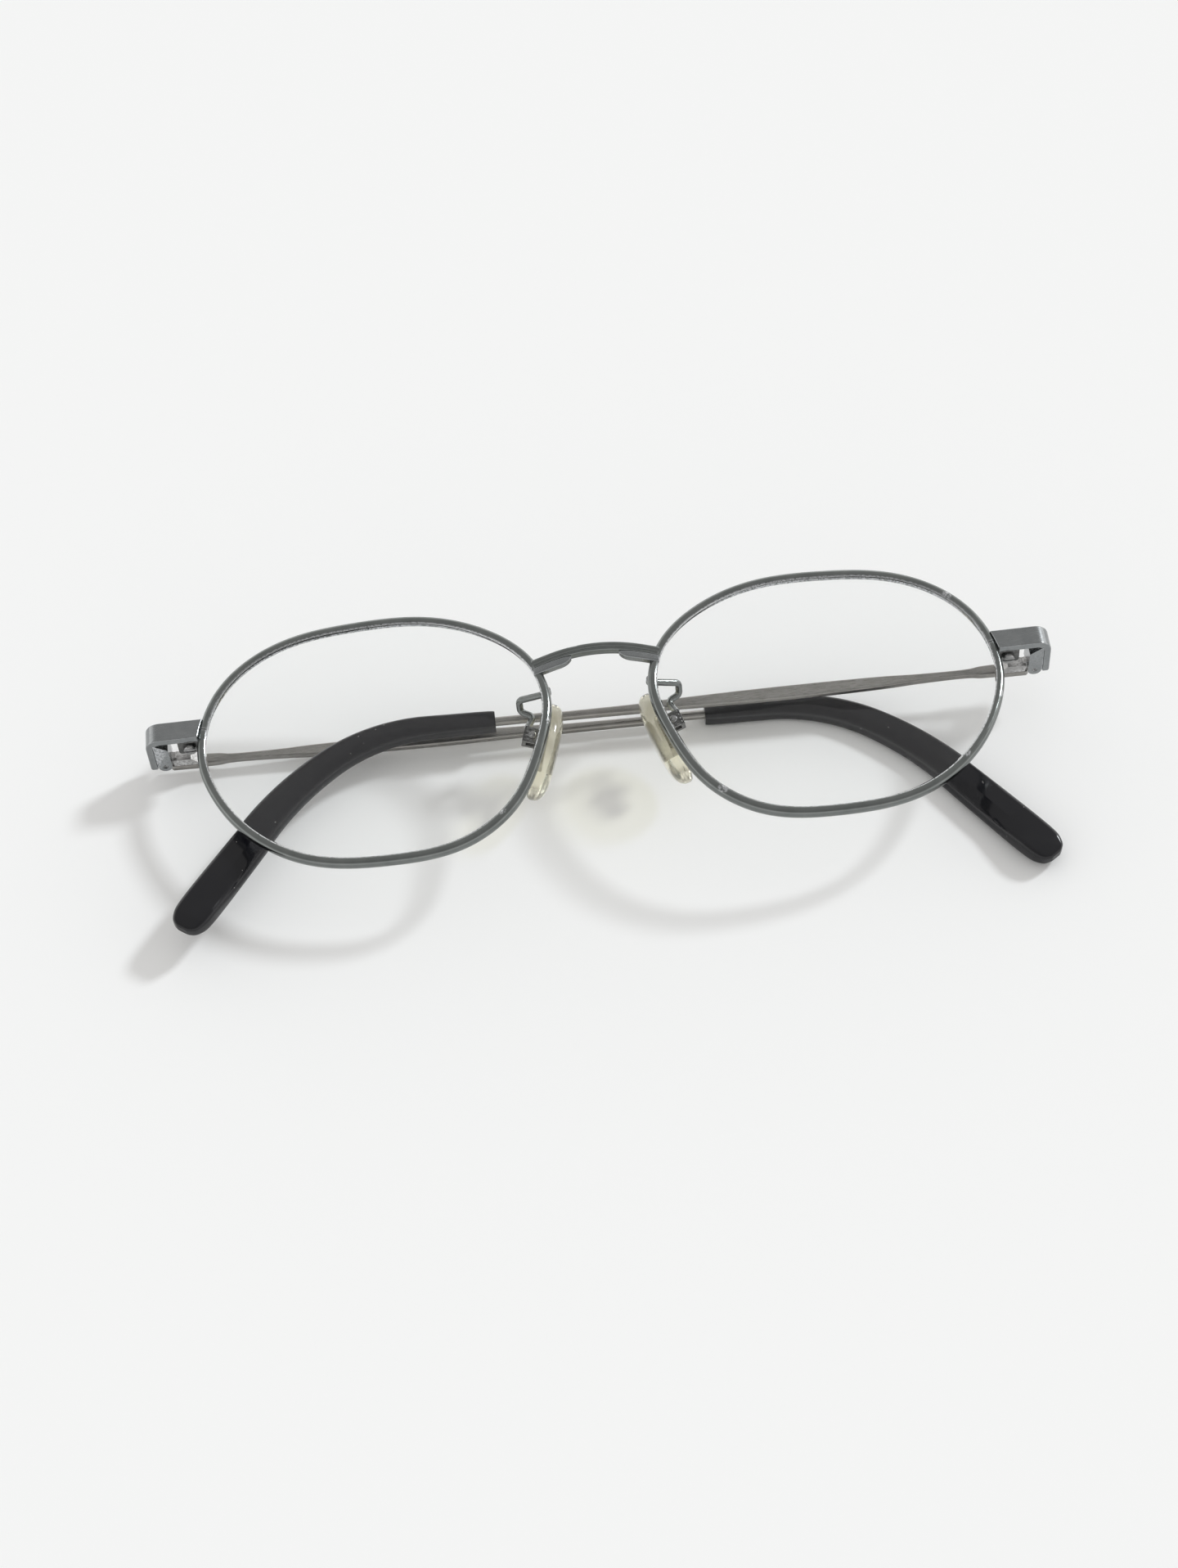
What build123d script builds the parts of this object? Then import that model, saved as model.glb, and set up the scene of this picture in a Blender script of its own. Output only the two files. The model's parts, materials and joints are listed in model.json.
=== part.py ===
from build123d import *
import os
from math import cos, radians, sin, sqrt

# Oval wire eyeglasses, folded and lying on their temples with the lenses up.
# The pieces are modelled in the front's own frame: X to the wearer's left, Y up the
# lenses, Z forward out of the lenses. The last step lays them down, with +Z up.
# Every left piece is modelled on the +X side, and the right one is its mirror image.

# Lens and rim sizes
lens_width = 49.4
lens_height = 38.1
bridge_width = 15.6
base_curve_radius = 130.0
wrap_angle = 5.0
lens_thickness = 1.2
lens_bevel = 0.3
lens_clearance = 0.08
rim_thickness = 1.15
rim_depth = 1.8
rim_groove_depth = 0.3
rim_groove_floor = 0.62
rim_corner_radius = 0.22
rim_crown = 0.14

# The rim's outline, as shares of its half width and half height, counterclockwise
# from where the left rim is split, seen from the front
rim_outline_shares = [
    (0.985, 0.341),
    (0.893, 0.615),
    (0.779, 0.773),
    (0.484, 0.957),
    (0.071, 0.999),
    (-0.348, 0.957),
    (-0.703, 0.765),
    (-0.916, 0.491),
    (-0.991, 0.133),
    (-0.928, -0.233),
    (-0.764, -0.656),
    (-0.452, -0.943),
    (-0.050, -1.000),
    (0.430, -0.887),
    (0.769, -0.562),
    (0.936, -0.217),
    (0.998, 0.060),
]
outline_steps = 24

# Bridge sizes
bridge_bar_height = 1.35
bridge_bar_depth = 1.5
bridge_groove_width = 0.35
bridge_groove_depth = 0.16
bridge_end_height = 8.55
bridge_arch_rise = 1.15
bridge_arch_bulge = 1.1
bridge_shoulder_share = 0.55
bridge_shoulder_rise_share = 0.68
lug_length = 4.4
lug_height = 1.25
lug_depth = 1.3
lug_chamfer = 0.55

# Endpiece and hinge sizes, in a frame with its origin on the hinge's axis, X outward,
# Y up the axis and Z forward
hinge_out = 63.25
hinge_up = 6.1
hinge_back = 9.8
pantoscopic_angle = 6.0
axis_to_outer_face = 2.15
endpiece_height = 3.2
endpiece_front_thickness = 1.25
endpiece_arm_thickness = 1.05
endpiece_reach_forward = 6.3
endpiece_reach_inward = 7.6
endpiece_corner_radius = 2.1
endpiece_edge_radius = 0.25
joint_line_back = 0.6
butt_gap = 0.1
knuckle_radius = 1.0
knuckle_height = 1.05
knuckle_gap = 0.05
knuckle_clearance = 0.12
front_leaf_length = 3.7
temple_leaf_length = 5.2
temple_leaf_height = 2.1
leaf_slant = 1.5
hinge_pin_radius = 0.5
pin_running_clearance = 0.03
hinge_screw_head_radius = 0.9
hinge_screw_head_height = 0.5
slot_width = 0.25
slot_depth = 0.22

# Rim lock sizes: the split block behind each endpiece, and its screw
lock_length = 3.3
lock_depth = 2.5
lock_half_height = 1.55
lock_split = 0.12
lock_screw_radius = 0.5
lock_screw_hole_clearance = 0.05
lock_screw_head_radius = 0.95
lock_screw_head_height = 0.7
lock_screw_inset = 1.7

# Nose pad sizes
pad_height = 14.8
pad_width = 8.0
pad_thickness = 2.3
pad_edge_radius = 0.85
pad_out = 8.8
pad_up = -1.6
pad_back = 7.0
pad_frontal_angle = 18.5
pad_splay_angle = 6.0
pad_vertical_tilt = 7.0
pad_mount_up = 1.6
insert_width = 2.4
insert_height = 6.0
insert_thickness = 0.5
insert_depth = 0.85
insert_lug_width = 0.9
insert_lug_height = 1.5
box_width = 2.3
box_height = 2.3
box_depth = 1.9
box_wall = 0.6
box_edge_radius = 0.35
box_gap = 0.3
box_side_clearance = 0.1
pad_screw_radius = 0.3
pad_screw_head_radius = 0.55
pad_screw_head_height = 0.25
pad_arm_radius = 0.5

# The pad arm leaves the rim's back, loops outward and comes down on the pad's box
pad_arm_start_up = 4.9
pad_arm_run_back = 4.3
pad_arm_loop_out = 11.5
pad_arm_loop_up = 5.6
pad_arm_loop_drop = 0.8
pad_arm_loop_depth = 1.9
pad_arm_return_out = 9.7
pad_arm_return_up = 3.8
pad_arm_bend_radius = 0.8

# Temple sizes, measured along the temple from the hinge's axis
temple_length = 138.0
temple_straight = 88.0
first_bend_radius = 25.0
first_bend_angle = 36.0
second_bend_radius = 46.0
second_bend_angle = 18.0
temple_bow = 0.7
temple_thickness = 1.05
blade_height = 3.0
blade_corner_radius = 0.3
rod_thickness = 1.55
core_diameter = 1.4
core_start = 86.0
core_end_inset = 16.0
core_sections = 6
round_corner_share = 0.49
tip_start = 78.5
tip_width = 5.5
tip_thickness = 2.9
tip_edge_radius_share = 0.3
right_fold_angle = 88.6
left_fold_angle = 91.4

# Temple bar sections from the hinge to the tip: place along that stretch, share of the
# blade's height, and how far the thickness has grown from the blade's to the rod's
bar_section_shares = [
    (0.000, 0.833, 0.0),
    (0.036, 0.833, 0.0),
    (0.075, 0.700, 0.0),
    (0.120, 0.500, 0.0),
    (0.171, 0.550, 0.0),
    (0.248, 0.800, 0.0),
    (0.377, 1.000, 0.0),
    (0.531, 0.933, 0.1),
    (0.711, 0.733, 0.4),
    (0.865, 0.617, 0.8),
    (1.000, 0.567, 1.0),
]

# Temple tip sections from its mouth to its end: place along the tip, and shares of its
# width and thickness
tip_section_shares = [
    (0.000, 0.455, 0.690),
    (0.013, 0.545, 0.793),
    (0.109, 0.580, 0.830),
    (0.227, 0.636, 0.862),
    (0.345, 0.709, 0.897),
    (0.462, 0.782, 0.931),
    (0.580, 0.855, 0.966),
    (0.697, 0.927, 1.000),
    (0.815, 0.982, 1.000),
    (0.933, 1.000, 0.966),
    (0.973, 0.891, 0.828),
    (0.993, 0.618, 0.586),
    (1.000, 0.291, 0.310),
]

# Sizes that follow
rim_half_width = lens_width / 2 + rim_groove_depth
rim_half_height = lens_height / 2 + rim_groove_depth
lens_centre_out = (bridge_width + lens_width) / 2
axis_to_plate = axis_to_outer_face - endpiece_arm_thickness
stack_half = knuckle_height * 1.5 + knuckle_gap
overrun = rim_depth * 4

lens_place = Location((lens_centre_out, 0, 0), (0, wrap_angle, 0))
hinge_place = Location((hinge_out, hinge_up, -hinge_back), (-pantoscopic_angle, 0, 0))


# Helpers
def between(low, high):
    """A box between two corners."""
    size = [b - a for a, b in zip(low, high)]
    centre = [(a + b) / 2 for a, b in zip(low, high)]
    return Pos(*centre) * Box(*size)


def plan_sketch(outline):
    """A solid's outline drawn from above: its X is outward and its Y is forward."""
    plane = Plane(origin=(0, 0, 0), x_dir=(1, 0, 0), z_dir=(0, -1, 0))
    return plane * outline


def upright_cylinder(radius, low, high, x=0, z=0):
    """A cylinder along Y between two heights."""
    middle = (low + high) / 2
    return Pos(x, middle, z) * Rot(90, 0, 0) * Cylinder(radius, high - low)


def sphere_height(u, v):
    """How far the lens's middle surface lies behind its vertex."""
    return sqrt(base_curve_radius**2 - u**2 - v**2) - base_curve_radius


# Rims and lenses
def outline_points(half_width, half_height):
    points = []
    for share_u, share_v in rim_outline_shares:
        u = share_u * half_width
        v = share_v * half_height
        points.append((u, v, sphere_height(u, v)))
    return points


def rim_route():
    points = outline_points(rim_half_width, rim_half_height)
    return Spline(points, periodic=True).edge()


def along_rim(section, route):
    """Sweeps a section whose X is outward and whose Y is backward."""
    tangent = route % 0
    outward = tangent.cross(Vector(0, 0, 1))
    plane = Plane(origin=route @ 0, x_dir=outward, z_dir=tangent)
    guide = route.moved(Pos(0, 0, rim_half_height))
    return sweep(plane * section, path=route, binormal=guide)


def rim_section():
    """Flat inner lips, crowned front, back and outer faces, and a groove for the lens."""
    inner = -rim_thickness / 2
    outer = rim_thickness / 2
    half = rim_depth / 2
    front = ThreePointArc((inner, -half + rim_crown), (0, -half), (outer, -half + rim_crown))
    side = ThreePointArc(
        (outer, -half + rim_crown), (outer + rim_crown, 0), (outer, half - rim_crown)
    )
    back = ThreePointArc((outer, half - rim_crown), (0, half), (inner, half - rim_crown))
    close = Line((inner, half - rim_crown), (inner, -half + rim_crown))
    mouth = lens_thickness / 2 + lens_clearance
    floor = rim_groove_floor / 2
    groove = Polygon(
        (inner * 2, -mouth),
        (inner, -mouth),
        (inner + rim_groove_depth, -floor),
        (inner + rim_groove_depth, floor),
        (inner, mouth),
        (inner * 2, mouth),
        align=None,
    )
    return make_face([front, side, back, close]) - groove


def rim():
    """The wire round the lens, split at the rim lock."""
    route = rim_route()
    gap_share = lock_split / route.length / 2
    wire = route.trim(gap_share, 1 - gap_share)
    return lens_place * along_rim(rim_section(), wire)


def outline_prism(inset):
    """A block as deep as the whole front, of the rim's outline drawn flat and moved in."""
    flat = [(u, v) for u, v, _ in outline_points(rim_half_width, rim_half_height)]
    line = Spline(flat, periodic=True).edge()
    points = []
    for step in range(outline_steps):
        share = step / outline_steps
        inward = Vector(0, 0, 1).cross(line % share).normalized()
        points.append(line @ share + inward * inset)
    face = make_face(Spline(points, periodic=True))
    return lens_place * extrude(face, overrun, both=True)


def lens_cap():
    """A disc with two spherical faces, wider than the lens."""
    reach = rim_half_width + rim_half_height
    faces = []
    for half in (lens_thickness / 2, -lens_thickness / 2):
        radius = base_curve_radius + half
        drop = [sqrt(radius**2 - x**2) - base_curve_radius for x in (0, reach / 2, reach)]
        faces.append(list(zip((0, reach / 2, reach), drop)))
    front, back = faces
    outline = [
        ThreePointArc(*front),
        Line(front[2], back[2]),
        ThreePointArc(*reversed(back)),
        Line(back[0], front[0]),
    ]
    return revolve(Plane.XZ * make_face(outline), Axis.Z)


def lens():
    """A meniscus lens with a bevelled edge that sits in the rim's groove."""
    inset = rim_thickness / 2 - rim_groove_depth + lens_clearance
    body = outline_prism(inset) & (lens_place * lens_cap())
    loops = [edge for edge in body.edges() if edge.length > lens_width]
    return chamfer(loops, lens_bevel)


# Bridge
def bridge_route():
    """From the right rim to the left one, arched up and forward."""
    end = bridge_width / 2 + rim_thickness
    middle_up = bridge_end_height + bridge_arch_rise
    shoulder = end * bridge_shoulder_share
    rise = bridge_arch_rise * bridge_shoulder_rise_share
    bulge = bridge_arch_bulge * bridge_shoulder_rise_share
    route = Spline(
        (-end, bridge_end_height, 0),
        (-shoulder, bridge_end_height + rise, bulge),
        (0, middle_up, bridge_arch_bulge),
        (shoulder, bridge_end_height + rise, bulge),
        (end, bridge_end_height, 0),
    )
    return route.edge()


def bridge(inside_rims):
    route = bridge_route()
    plane = Plane(origin=route @ 0, x_dir=(0, 1, 0), z_dir=route % 0)
    section = RectangleRounded(bridge_bar_height, bridge_bar_depth, rim_corner_radius)
    groove = Pos(0, bridge_bar_depth / 2) * Rectangle(
        bridge_groove_width, bridge_groove_depth * 2
    )
    guide = route.moved(Pos(0, bridge_width, 0))
    bar = sweep(plane * (section - groove), path=route, binormal=guide)
    return bar - inside_rims


def bridge_lug(inside_rim):
    """A short foot under the bridge's end, soldered to the rim."""
    out = bridge_width / 2 + rim_thickness
    inward = out - lug_length - rim_thickness
    top = bridge_end_height - bridge_bar_height / 2
    profile = Polygon(
        (out, top),
        (inward, top),
        (inward, top - lug_height + lug_chamfer),
        (inward + lug_chamfer, top - lug_height),
        (out, top - lug_height),
        align=None,
    )
    return extrude(profile, lug_depth / 2, both=True) - inside_rim


# Endpieces and rim locks
def endpiece(inside_rim):
    """A plate from the rim that bends back to the hinge."""
    outer = axis_to_outer_face
    inner = axis_to_plate
    front = endpiece_reach_forward
    behind = front - endpiece_front_thickness
    tail = -joint_line_back
    corners = [
        (-endpiece_reach_inward, front),
        (outer, front),
        (outer, tail),
        (inner, tail),
        (inner, behind),
        (-endpiece_reach_inward, behind),
    ]
    outline = make_face(Polyline(*corners, close=True))
    outside = outline.vertices().sort_by_distance((outer, front))[0]
    outline = fillet(outside, endpiece_corner_radius)
    inside = outline.vertices().sort_by_distance((inner, behind))[0]
    outline = fillet(inside, endpiece_corner_radius - endpiece_arm_thickness)
    plate = extrude(plan_sketch(outline), endpiece_height / 2, both=True)
    long_edges = plate.faces().sort_by(Axis.Y)[0].edges() + plate.faces().sort_by(Axis.Y)[-1].edges()
    plate = fillet(long_edges, endpiece_edge_radius)
    return hinge_place * plate - inside_rim


def lock_span():
    """Where the rim lock begins, in the rim's wire, and where it ends."""
    inner = lens_centre_out + rim_half_width - hinge_out
    return inner, inner + lock_length


def rim_lock(inside_rim):
    """The upper and the lower half of the closing block, with the screw's hole."""
    top = endpiece_reach_forward - endpiece_front_thickness
    inner, outer = lock_span()
    screw_x = outer - lock_screw_inset
    screw_z = top - lock_depth / 2
    halves = []
    for low, high, play in (
        (lock_split / 2, lock_half_height, 0),
        (-lock_half_height, -lock_split / 2, lock_screw_hole_clearance),
    ):
        block = between((inner, low, top - lock_depth), (outer, high, top))
        hole = upright_cylinder(lock_screw_radius + play, low, high, screw_x, screw_z)
        halves.append(hinge_place * (block - hole) - inside_rim)
    return halves


def rim_lock_screw():
    top = endpiece_reach_forward - endpiece_front_thickness
    x = lock_span()[1] - lock_screw_inset
    z = top - lock_depth / 2
    seat = -lock_half_height
    shank = upright_cylinder(lock_screw_radius, seat, lock_half_height, x, z)
    bottom = seat - lock_screw_head_height
    head = upright_cylinder(lock_screw_head_radius, bottom, seat, x, z)
    slot = between(
        (x - lock_screw_head_radius, bottom, z - slot_width / 2),
        (x + lock_screw_head_radius, bottom + slot_depth, z + slot_width / 2),
    )
    return hinge_place * (shank + head - slot)


# Hinges
def front_leaf():
    """A block on the endpiece's inner face with an upper and a lower knuckle."""
    body = between((0, -stack_half, 0), (axis_to_plate, stack_half, front_leaf_length))
    body = body + upright_cylinder(knuckle_radius, -stack_half, stack_half)
    middle = knuckle_height / 2 + knuckle_gap
    room = upright_cylinder(knuckle_radius + knuckle_clearance, -middle, middle)
    bore = upright_cylinder(hinge_pin_radius, -stack_half, stack_half)
    return hinge_place * (body - room - bore)


def hinge_screw():
    low = -stack_half
    pin = upright_cylinder(hinge_pin_radius, low, stack_half)
    top = stack_half + hinge_screw_head_height
    head = upright_cylinder(hinge_screw_head_radius, stack_half, top)
    slot = between(
        (-hinge_screw_head_radius, top - slot_depth, -slot_width / 2),
        (hinge_screw_head_radius, top, slot_width / 2),
    )
    return hinge_place * (pin + head - slot)


def temple_leaf():
    """A block on the bar's inner face with the middle knuckle and a slanted end."""
    start = knuckle_radius + knuckle_clearance
    half = temple_leaf_height / 2
    profile = Polygon(
        (0, -start),
        (axis_to_plate, -start),
        (axis_to_plate, -temple_leaf_length),
        (0, leaf_slant - temple_leaf_length),
        align=None,
    )
    block = extrude(plan_sketch(profile), half, both=True)
    web_half = knuckle_height / 2
    web = between((0, -web_half, -start), (knuckle_radius, web_half, 0))
    knuckle = upright_cylinder(knuckle_radius, -web_half, web_half)
    bore = upright_cylinder(hinge_pin_radius + pin_running_clearance, -web_half, web_half)
    return block + web + knuckle - bore


# Temples, modelled open in the hinge's frame
def temple_frame(distance):
    """The plane across the temple at a distance from the axis: X outward, Y down."""
    back = min(distance, temple_straight)
    down = 0
    angle = 0
    left_over = distance - temple_straight
    for radius, bend in (
        (first_bend_radius, radians(first_bend_angle)),
        (second_bend_radius, radians(second_bend_angle)),
    ):
        turn = max(min(left_over / radius, bend), 0)
        back = back + radius * (sin(angle + turn) - sin(angle))
        down = down + radius * (cos(angle) - cos(angle + turn))
        angle = angle + turn
        left_over = left_over - radius * bend
    if left_over > 0:
        back = back + left_over * cos(angle)
        down = down + left_over * sin(angle)
    share = distance / temple_length
    out = axis_to_outer_face - temple_thickness / 2 + temple_bow * 4 * share * (1 - share)
    slope = temple_bow * 4 * (1 - share * 2) / temple_length
    along = Vector(slope, -sin(angle), -cos(angle))
    across = Vector(1, -slope * along.Y, -slope * along.Z)
    return Plane(origin=(out, -down, -back), x_dir=across, z_dir=along)


def temple_bar():
    """A flat bar with a waist behind the hinge, which runs on as the tip's core wire."""
    start = joint_line_back + butt_gap
    sections = []
    for place_share, height_share, growth_share in bar_section_shares:
        distance = start + place_share * (tip_start - start)
        height = blade_height * height_share
        thickness = temple_thickness + (rod_thickness - temple_thickness) * growth_share
        corner = blade_corner_radius
        if distance >= tip_start:
            corner = min(height, thickness) * round_corner_share
        sections.append(temple_frame(distance) * RectangleRounded(thickness, height, corner))
    core_step = (temple_length - core_end_inset - core_start) / (core_sections - 1)
    for step in range(core_sections):
        plane = temple_frame(core_start + step * core_step)
        corner = core_diameter * round_corner_share
        sections.append(plane * RectangleRounded(core_diameter, core_diameter, corner))
    return loft(sections)


def temple_tip(bar):
    """A plastic sleeve over the bar's end, growing towards its rounded tip."""
    sections = []
    for place_share, width_share, thickness_share in tip_section_shares:
        distance = tip_start + place_share * (temple_length - tip_start)
        width = tip_width * width_share
        thickness = tip_thickness * thickness_share
        corner = min(width, thickness) * tip_edge_radius_share
        sections.append(temple_frame(distance) * RectangleRounded(thickness, width, corner))
    return loft(sections) - bar


# Nose pads
def pad_plane():
    """The left pad's frame: Y up the pad and Z towards the nose."""
    up = Vector(
        -sin(radians(pad_frontal_angle)),
        cos(radians(pad_frontal_angle)),
        sin(radians(pad_vertical_tilt)),
    ).normalized()
    nose = Vector(-cos(radians(pad_splay_angle)), 0, -sin(radians(pad_splay_angle)))
    nose = (nose - up * nose.dot(up)).normalized()
    return Plane(origin=(pad_out, pad_up, -pad_back), x_dir=up.cross(nose), z_dir=nose)


def pad_insert_shape():
    """The pad's metal core and the lug behind it, in the pad's frame."""
    back = -pad_thickness / 2
    plate_z = back + insert_depth
    plate = Pos(0, 0, plate_z) * extrude(
        SlotCenterToCenter(insert_height - insert_width, insert_width, 90),
        insert_thickness,
    )
    lug_back = back - box_gap - box_depth + box_wall + box_side_clearance
    lug = between(
        (-insert_lug_width / 2, pad_mount_up - insert_lug_height / 2, lug_back),
        (insert_lug_width / 2, pad_mount_up + insert_lug_height / 2, plate_z),
    )
    return plate + lug


def pad_axis_depth():
    """How far behind the pad's middle its screw lies."""
    return pad_thickness / 2 + box_gap + (box_depth - box_wall) / 2


def pad_screw_shape(play=0):
    reach = box_width / 2
    at = Pos(0, pad_mount_up, -pad_axis_depth()) * Rot(0, 90, 0)
    shank = at * Cylinder(pad_screw_radius + play, box_width)
    if play:
        return shank
    head = Cylinder(pad_screw_head_radius, pad_screw_head_height)
    return shank + at * Pos(0, 0, reach + pad_screw_head_height / 2) * head


def pad_insert():
    return pad_insert_shape() - pad_screw_shape(pin_running_clearance)


def nose_pad():
    """A soft oval pad with rounded edges."""
    half = pad_thickness / 2
    body = extrude(Ellipse(pad_width / 2, pad_height / 2), half, both=True)
    body = fillet(body.edges(), pad_edge_radius)
    return body - pad_insert_shape()


def pad_box():
    """A small box, open towards the pad, that holds the lug between its cheeks."""
    front = -pad_thickness / 2 - box_gap
    y = pad_mount_up
    outside = between(
        (-box_width / 2, y - box_height / 2, front - box_depth),
        (box_width / 2, y + box_height / 2, front),
    )
    outside = fillet(outside.edges().filter_by(Axis.Z), box_edge_radius)
    room_half = insert_lug_width / 2 + box_side_clearance
    room = between(
        (-room_half, y - box_height, front - box_depth + box_wall),
        (room_half, y + box_height, front + box_gap),
    )
    hole = pad_screw_shape() & outside
    return outside - room - hole


def pad_arm(box):
    """A wire from the rim's back, out in a loop and down to the back wall of the box."""
    u = -rim_half_width
    v = pad_arm_start_up
    start = (lens_place * Pos(u, v, sphere_height(u, v) - rim_depth / 2)).position
    first = (lens_place * Pos(u, v, -pad_arm_run_back)).position
    loop_back = pad_arm_run_back + pad_arm_loop_depth
    box_back = pad_thickness / 2 + box_gap + box_depth - box_wall / 2
    top = pad_mount_up + box_height / 2
    end = pad_plane().from_local_coords(Vector(0, top, -box_back))
    corners = [
        (start.X, start.Y, start.Z),
        (first.X, first.Y, first.Z),
        (pad_arm_loop_out, pad_arm_loop_up, -pad_arm_run_back),
        (pad_arm_loop_out, pad_arm_loop_up - pad_arm_loop_drop, -loop_back),
        (pad_arm_return_out, pad_arm_return_up, -loop_back),
        (end.X, end.Y, end.Z),
    ]
    route = FilletPolyline(*corners, radius=pad_arm_bend_radius)
    plane = Plane(origin=route @ 0, z_dir=route % 0)
    wire = sweep(plane * Circle(pad_arm_radius), path=route)
    return wire - box


# The whole, folded, in the front's frame
def left_pieces(inside_rim):
    box = pad_plane().location * pad_box()
    return {
        "rim": rim(),
        "lens": lens(),
        "endpiece": endpiece(inside_rim),
        "rim_lock": Compound(children=rim_lock(inside_rim)),
        "rim_lock_screw": rim_lock_screw(),
        "front_leaf": front_leaf(),
        "hinge_screw": hinge_screw(),
        "pad_arm": pad_arm(box),
        "pad_box": box,
        "pad_screw": pad_plane().location * pad_screw_shape(),
        "pad_insert": pad_plane().location * pad_insert(),
        "nose_pad": pad_plane().location * nose_pad(),
    }


def left_temple(fold_angle):
    bar = temple_bar()
    pieces = {
        "temple_bar": bar,
        "temple_leaf": temple_leaf(),
        "temple_tip": temple_tip(bar),
    }
    folded = hinge_place * Rot(0, fold_angle, 0)
    return {name: folded * shape for name, shape in pieces.items()}


inside_left_rim = outline_prism(-rim_thickness / 2 - rim_crown)
inside_rims = [inside_left_rim, mirror(inside_left_rim, about=Plane.YZ)]
left = left_pieces(inside_left_rim)
nodes = {"bridge": bridge(inside_rims)}
lug = bridge_lug(inside_left_rim)
nodes["bridge_lugs"] = Compound(children=[lug, mirror(lug, about=Plane.YZ)])
for name, shape in {**left, **left_temple(left_fold_angle)}.items():
    nodes["left_" + name] = shape
for name, shape in {**left, **left_temple(right_fold_angle)}.items():
    nodes["right_" + name] = mirror(shape, about=Plane.YZ)

# Laying it down: the right temple's outer face goes flat on the table
laid = Rot(0, right_fold_angle - 90, 0) * Rot(pantoscopic_angle, 0, 0)
lying = {name: laid * shape for name, shape in nodes.items()}
boxes = [shape.bounding_box() for shape in lying.values()]
low = [min(getattr(box.min, axis) for box in boxes) for axis in "XYZ"]
high = [max(getattr(box.max, axis) for box in boxes) for axis in "XYZ"]
stand = Pos(-(low[0] + high[0]) / 2, -(low[1] + high[1]) / 2, -low[2])

os.makedirs("parts", exist_ok=True)
for name, shape in lying.items():
    export_step(stand * shape, "parts/" + name + ".step")

print("whole size", [b - a for a, b in zip(low, high)])
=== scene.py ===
import json
from math import cos, pi, radians, sin, sqrt, tan

import bmesh
import bpy
import numpy as np
from mathutils import Matrix, Vector


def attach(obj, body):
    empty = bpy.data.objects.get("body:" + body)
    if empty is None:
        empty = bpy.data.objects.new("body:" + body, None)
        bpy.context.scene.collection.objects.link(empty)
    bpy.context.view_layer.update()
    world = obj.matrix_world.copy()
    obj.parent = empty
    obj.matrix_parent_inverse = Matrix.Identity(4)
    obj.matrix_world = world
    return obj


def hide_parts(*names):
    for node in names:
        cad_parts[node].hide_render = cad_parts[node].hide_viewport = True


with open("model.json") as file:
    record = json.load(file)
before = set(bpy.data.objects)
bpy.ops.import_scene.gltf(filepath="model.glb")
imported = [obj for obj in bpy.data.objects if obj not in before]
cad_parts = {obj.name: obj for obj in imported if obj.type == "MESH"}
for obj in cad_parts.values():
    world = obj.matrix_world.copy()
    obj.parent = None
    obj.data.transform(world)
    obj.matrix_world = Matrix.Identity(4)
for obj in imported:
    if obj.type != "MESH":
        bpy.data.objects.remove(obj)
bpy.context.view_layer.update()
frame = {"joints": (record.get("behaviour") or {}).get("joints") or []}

# Oval wire eyeglasses, folded and lying on their temples with the lenses up. Sizes are in
# millimetres in the front's own frame: X to the wearer's left, Y up the lenses, Z out of
# the lenses. Each left piece is drawn on the +X side, and the right one mirrors it.
mm = 0.001

# Lens and rim sizes
lens_width = 49.4
lens_height = 38.1
bridge_width = 15.6
base_curve_radius = 130.0
wrap_angle = radians(5.0)
lens_thickness = 1.2
lens_bevel = 0.3
lens_clearance = 0.08
rim_thickness = 1.15
rim_depth = 1.8
rim_groove_depth = 0.3
rim_groove_floor = 0.62
rim_crown = 0.14
rim_corner = 0.16
rim_split = 0.12
solder_overlap = 0.1
rim_cutter_reach = 9.0
rim_outline_shares = [
    (0.985, 0.341), (0.893, 0.615), (0.779, 0.773), (0.484, 0.957), (0.071, 0.999),
    (-0.348, 0.957), (-0.703, 0.765), (-0.916, 0.491), (-0.991, 0.133), (-0.928, -0.233),
    (-0.764, -0.656), (-0.452, -0.943), (-0.050, -1.000), (0.430, -0.887), (0.769, -0.562),
    (0.936, -0.217), (0.998, 0.060),
]
rim_half_width = lens_width / 2 + rim_groove_depth
rim_half_height = lens_height / 2 + rim_groove_depth
lens_centre_out = (bridge_width + lens_width) / 2

# Hinge sizes
hinge_out = 63.25
hinge_up = 6.1
hinge_back = 9.8
pantoscopic_angle = radians(6.0)
axis_to_outer_face = 2.15
endpiece_height = 3.2
endpiece_front_thickness = 1.25
endpiece_arm_thickness = 1.05
endpiece_reach_forward = 6.3
endpiece_reach_inward = 7.6
endpiece_corner_radius = 2.1
endpiece_end_radius = 0.35
endpiece_edge_radius = 0.22
joint_line_back = 0.6
axis_to_plate = axis_to_outer_face - endpiece_arm_thickness
knuckle_radius = 1.0
knuckle_height = 1.05
knuckle_gap = 0.05
knuckle_clearance = 0.12
knuckle_neck_share = 0.55
knuckle_root_share = 1.4
stack_half = knuckle_height * 1.5 + knuckle_gap
front_leaf_length = 3.7
front_leaf_slant = 1.4
front_leaf_reach = 0.9
temple_leaf_length = 5.2
temple_leaf_half_height = 0.85
temple_leaf_reach = 0.2
temple_leaf_slant = 1.5
temple_leaf_overlap = 0.1
leaf_edge_radius = 0.08
hinge_pin_radius = 0.5
hinge_screw_head_radius = 0.9
hinge_screw_head_height = 0.5

# Screws: the head's profile in shares of its radius and of its height over the seat
screw_slot_width = 0.25
screw_slot_depth = 0.22
screw_edge_radius = 0.03
shank_chamfer_share = 0.2
head_profile_shares = [
    (0.94, 0.0), (1.0, 0.12), (1.0, 0.58), (0.93, 0.8), (0.78, 0.94), (0.5, 1.0),
]
turned_pole_radius = 0.01

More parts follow.
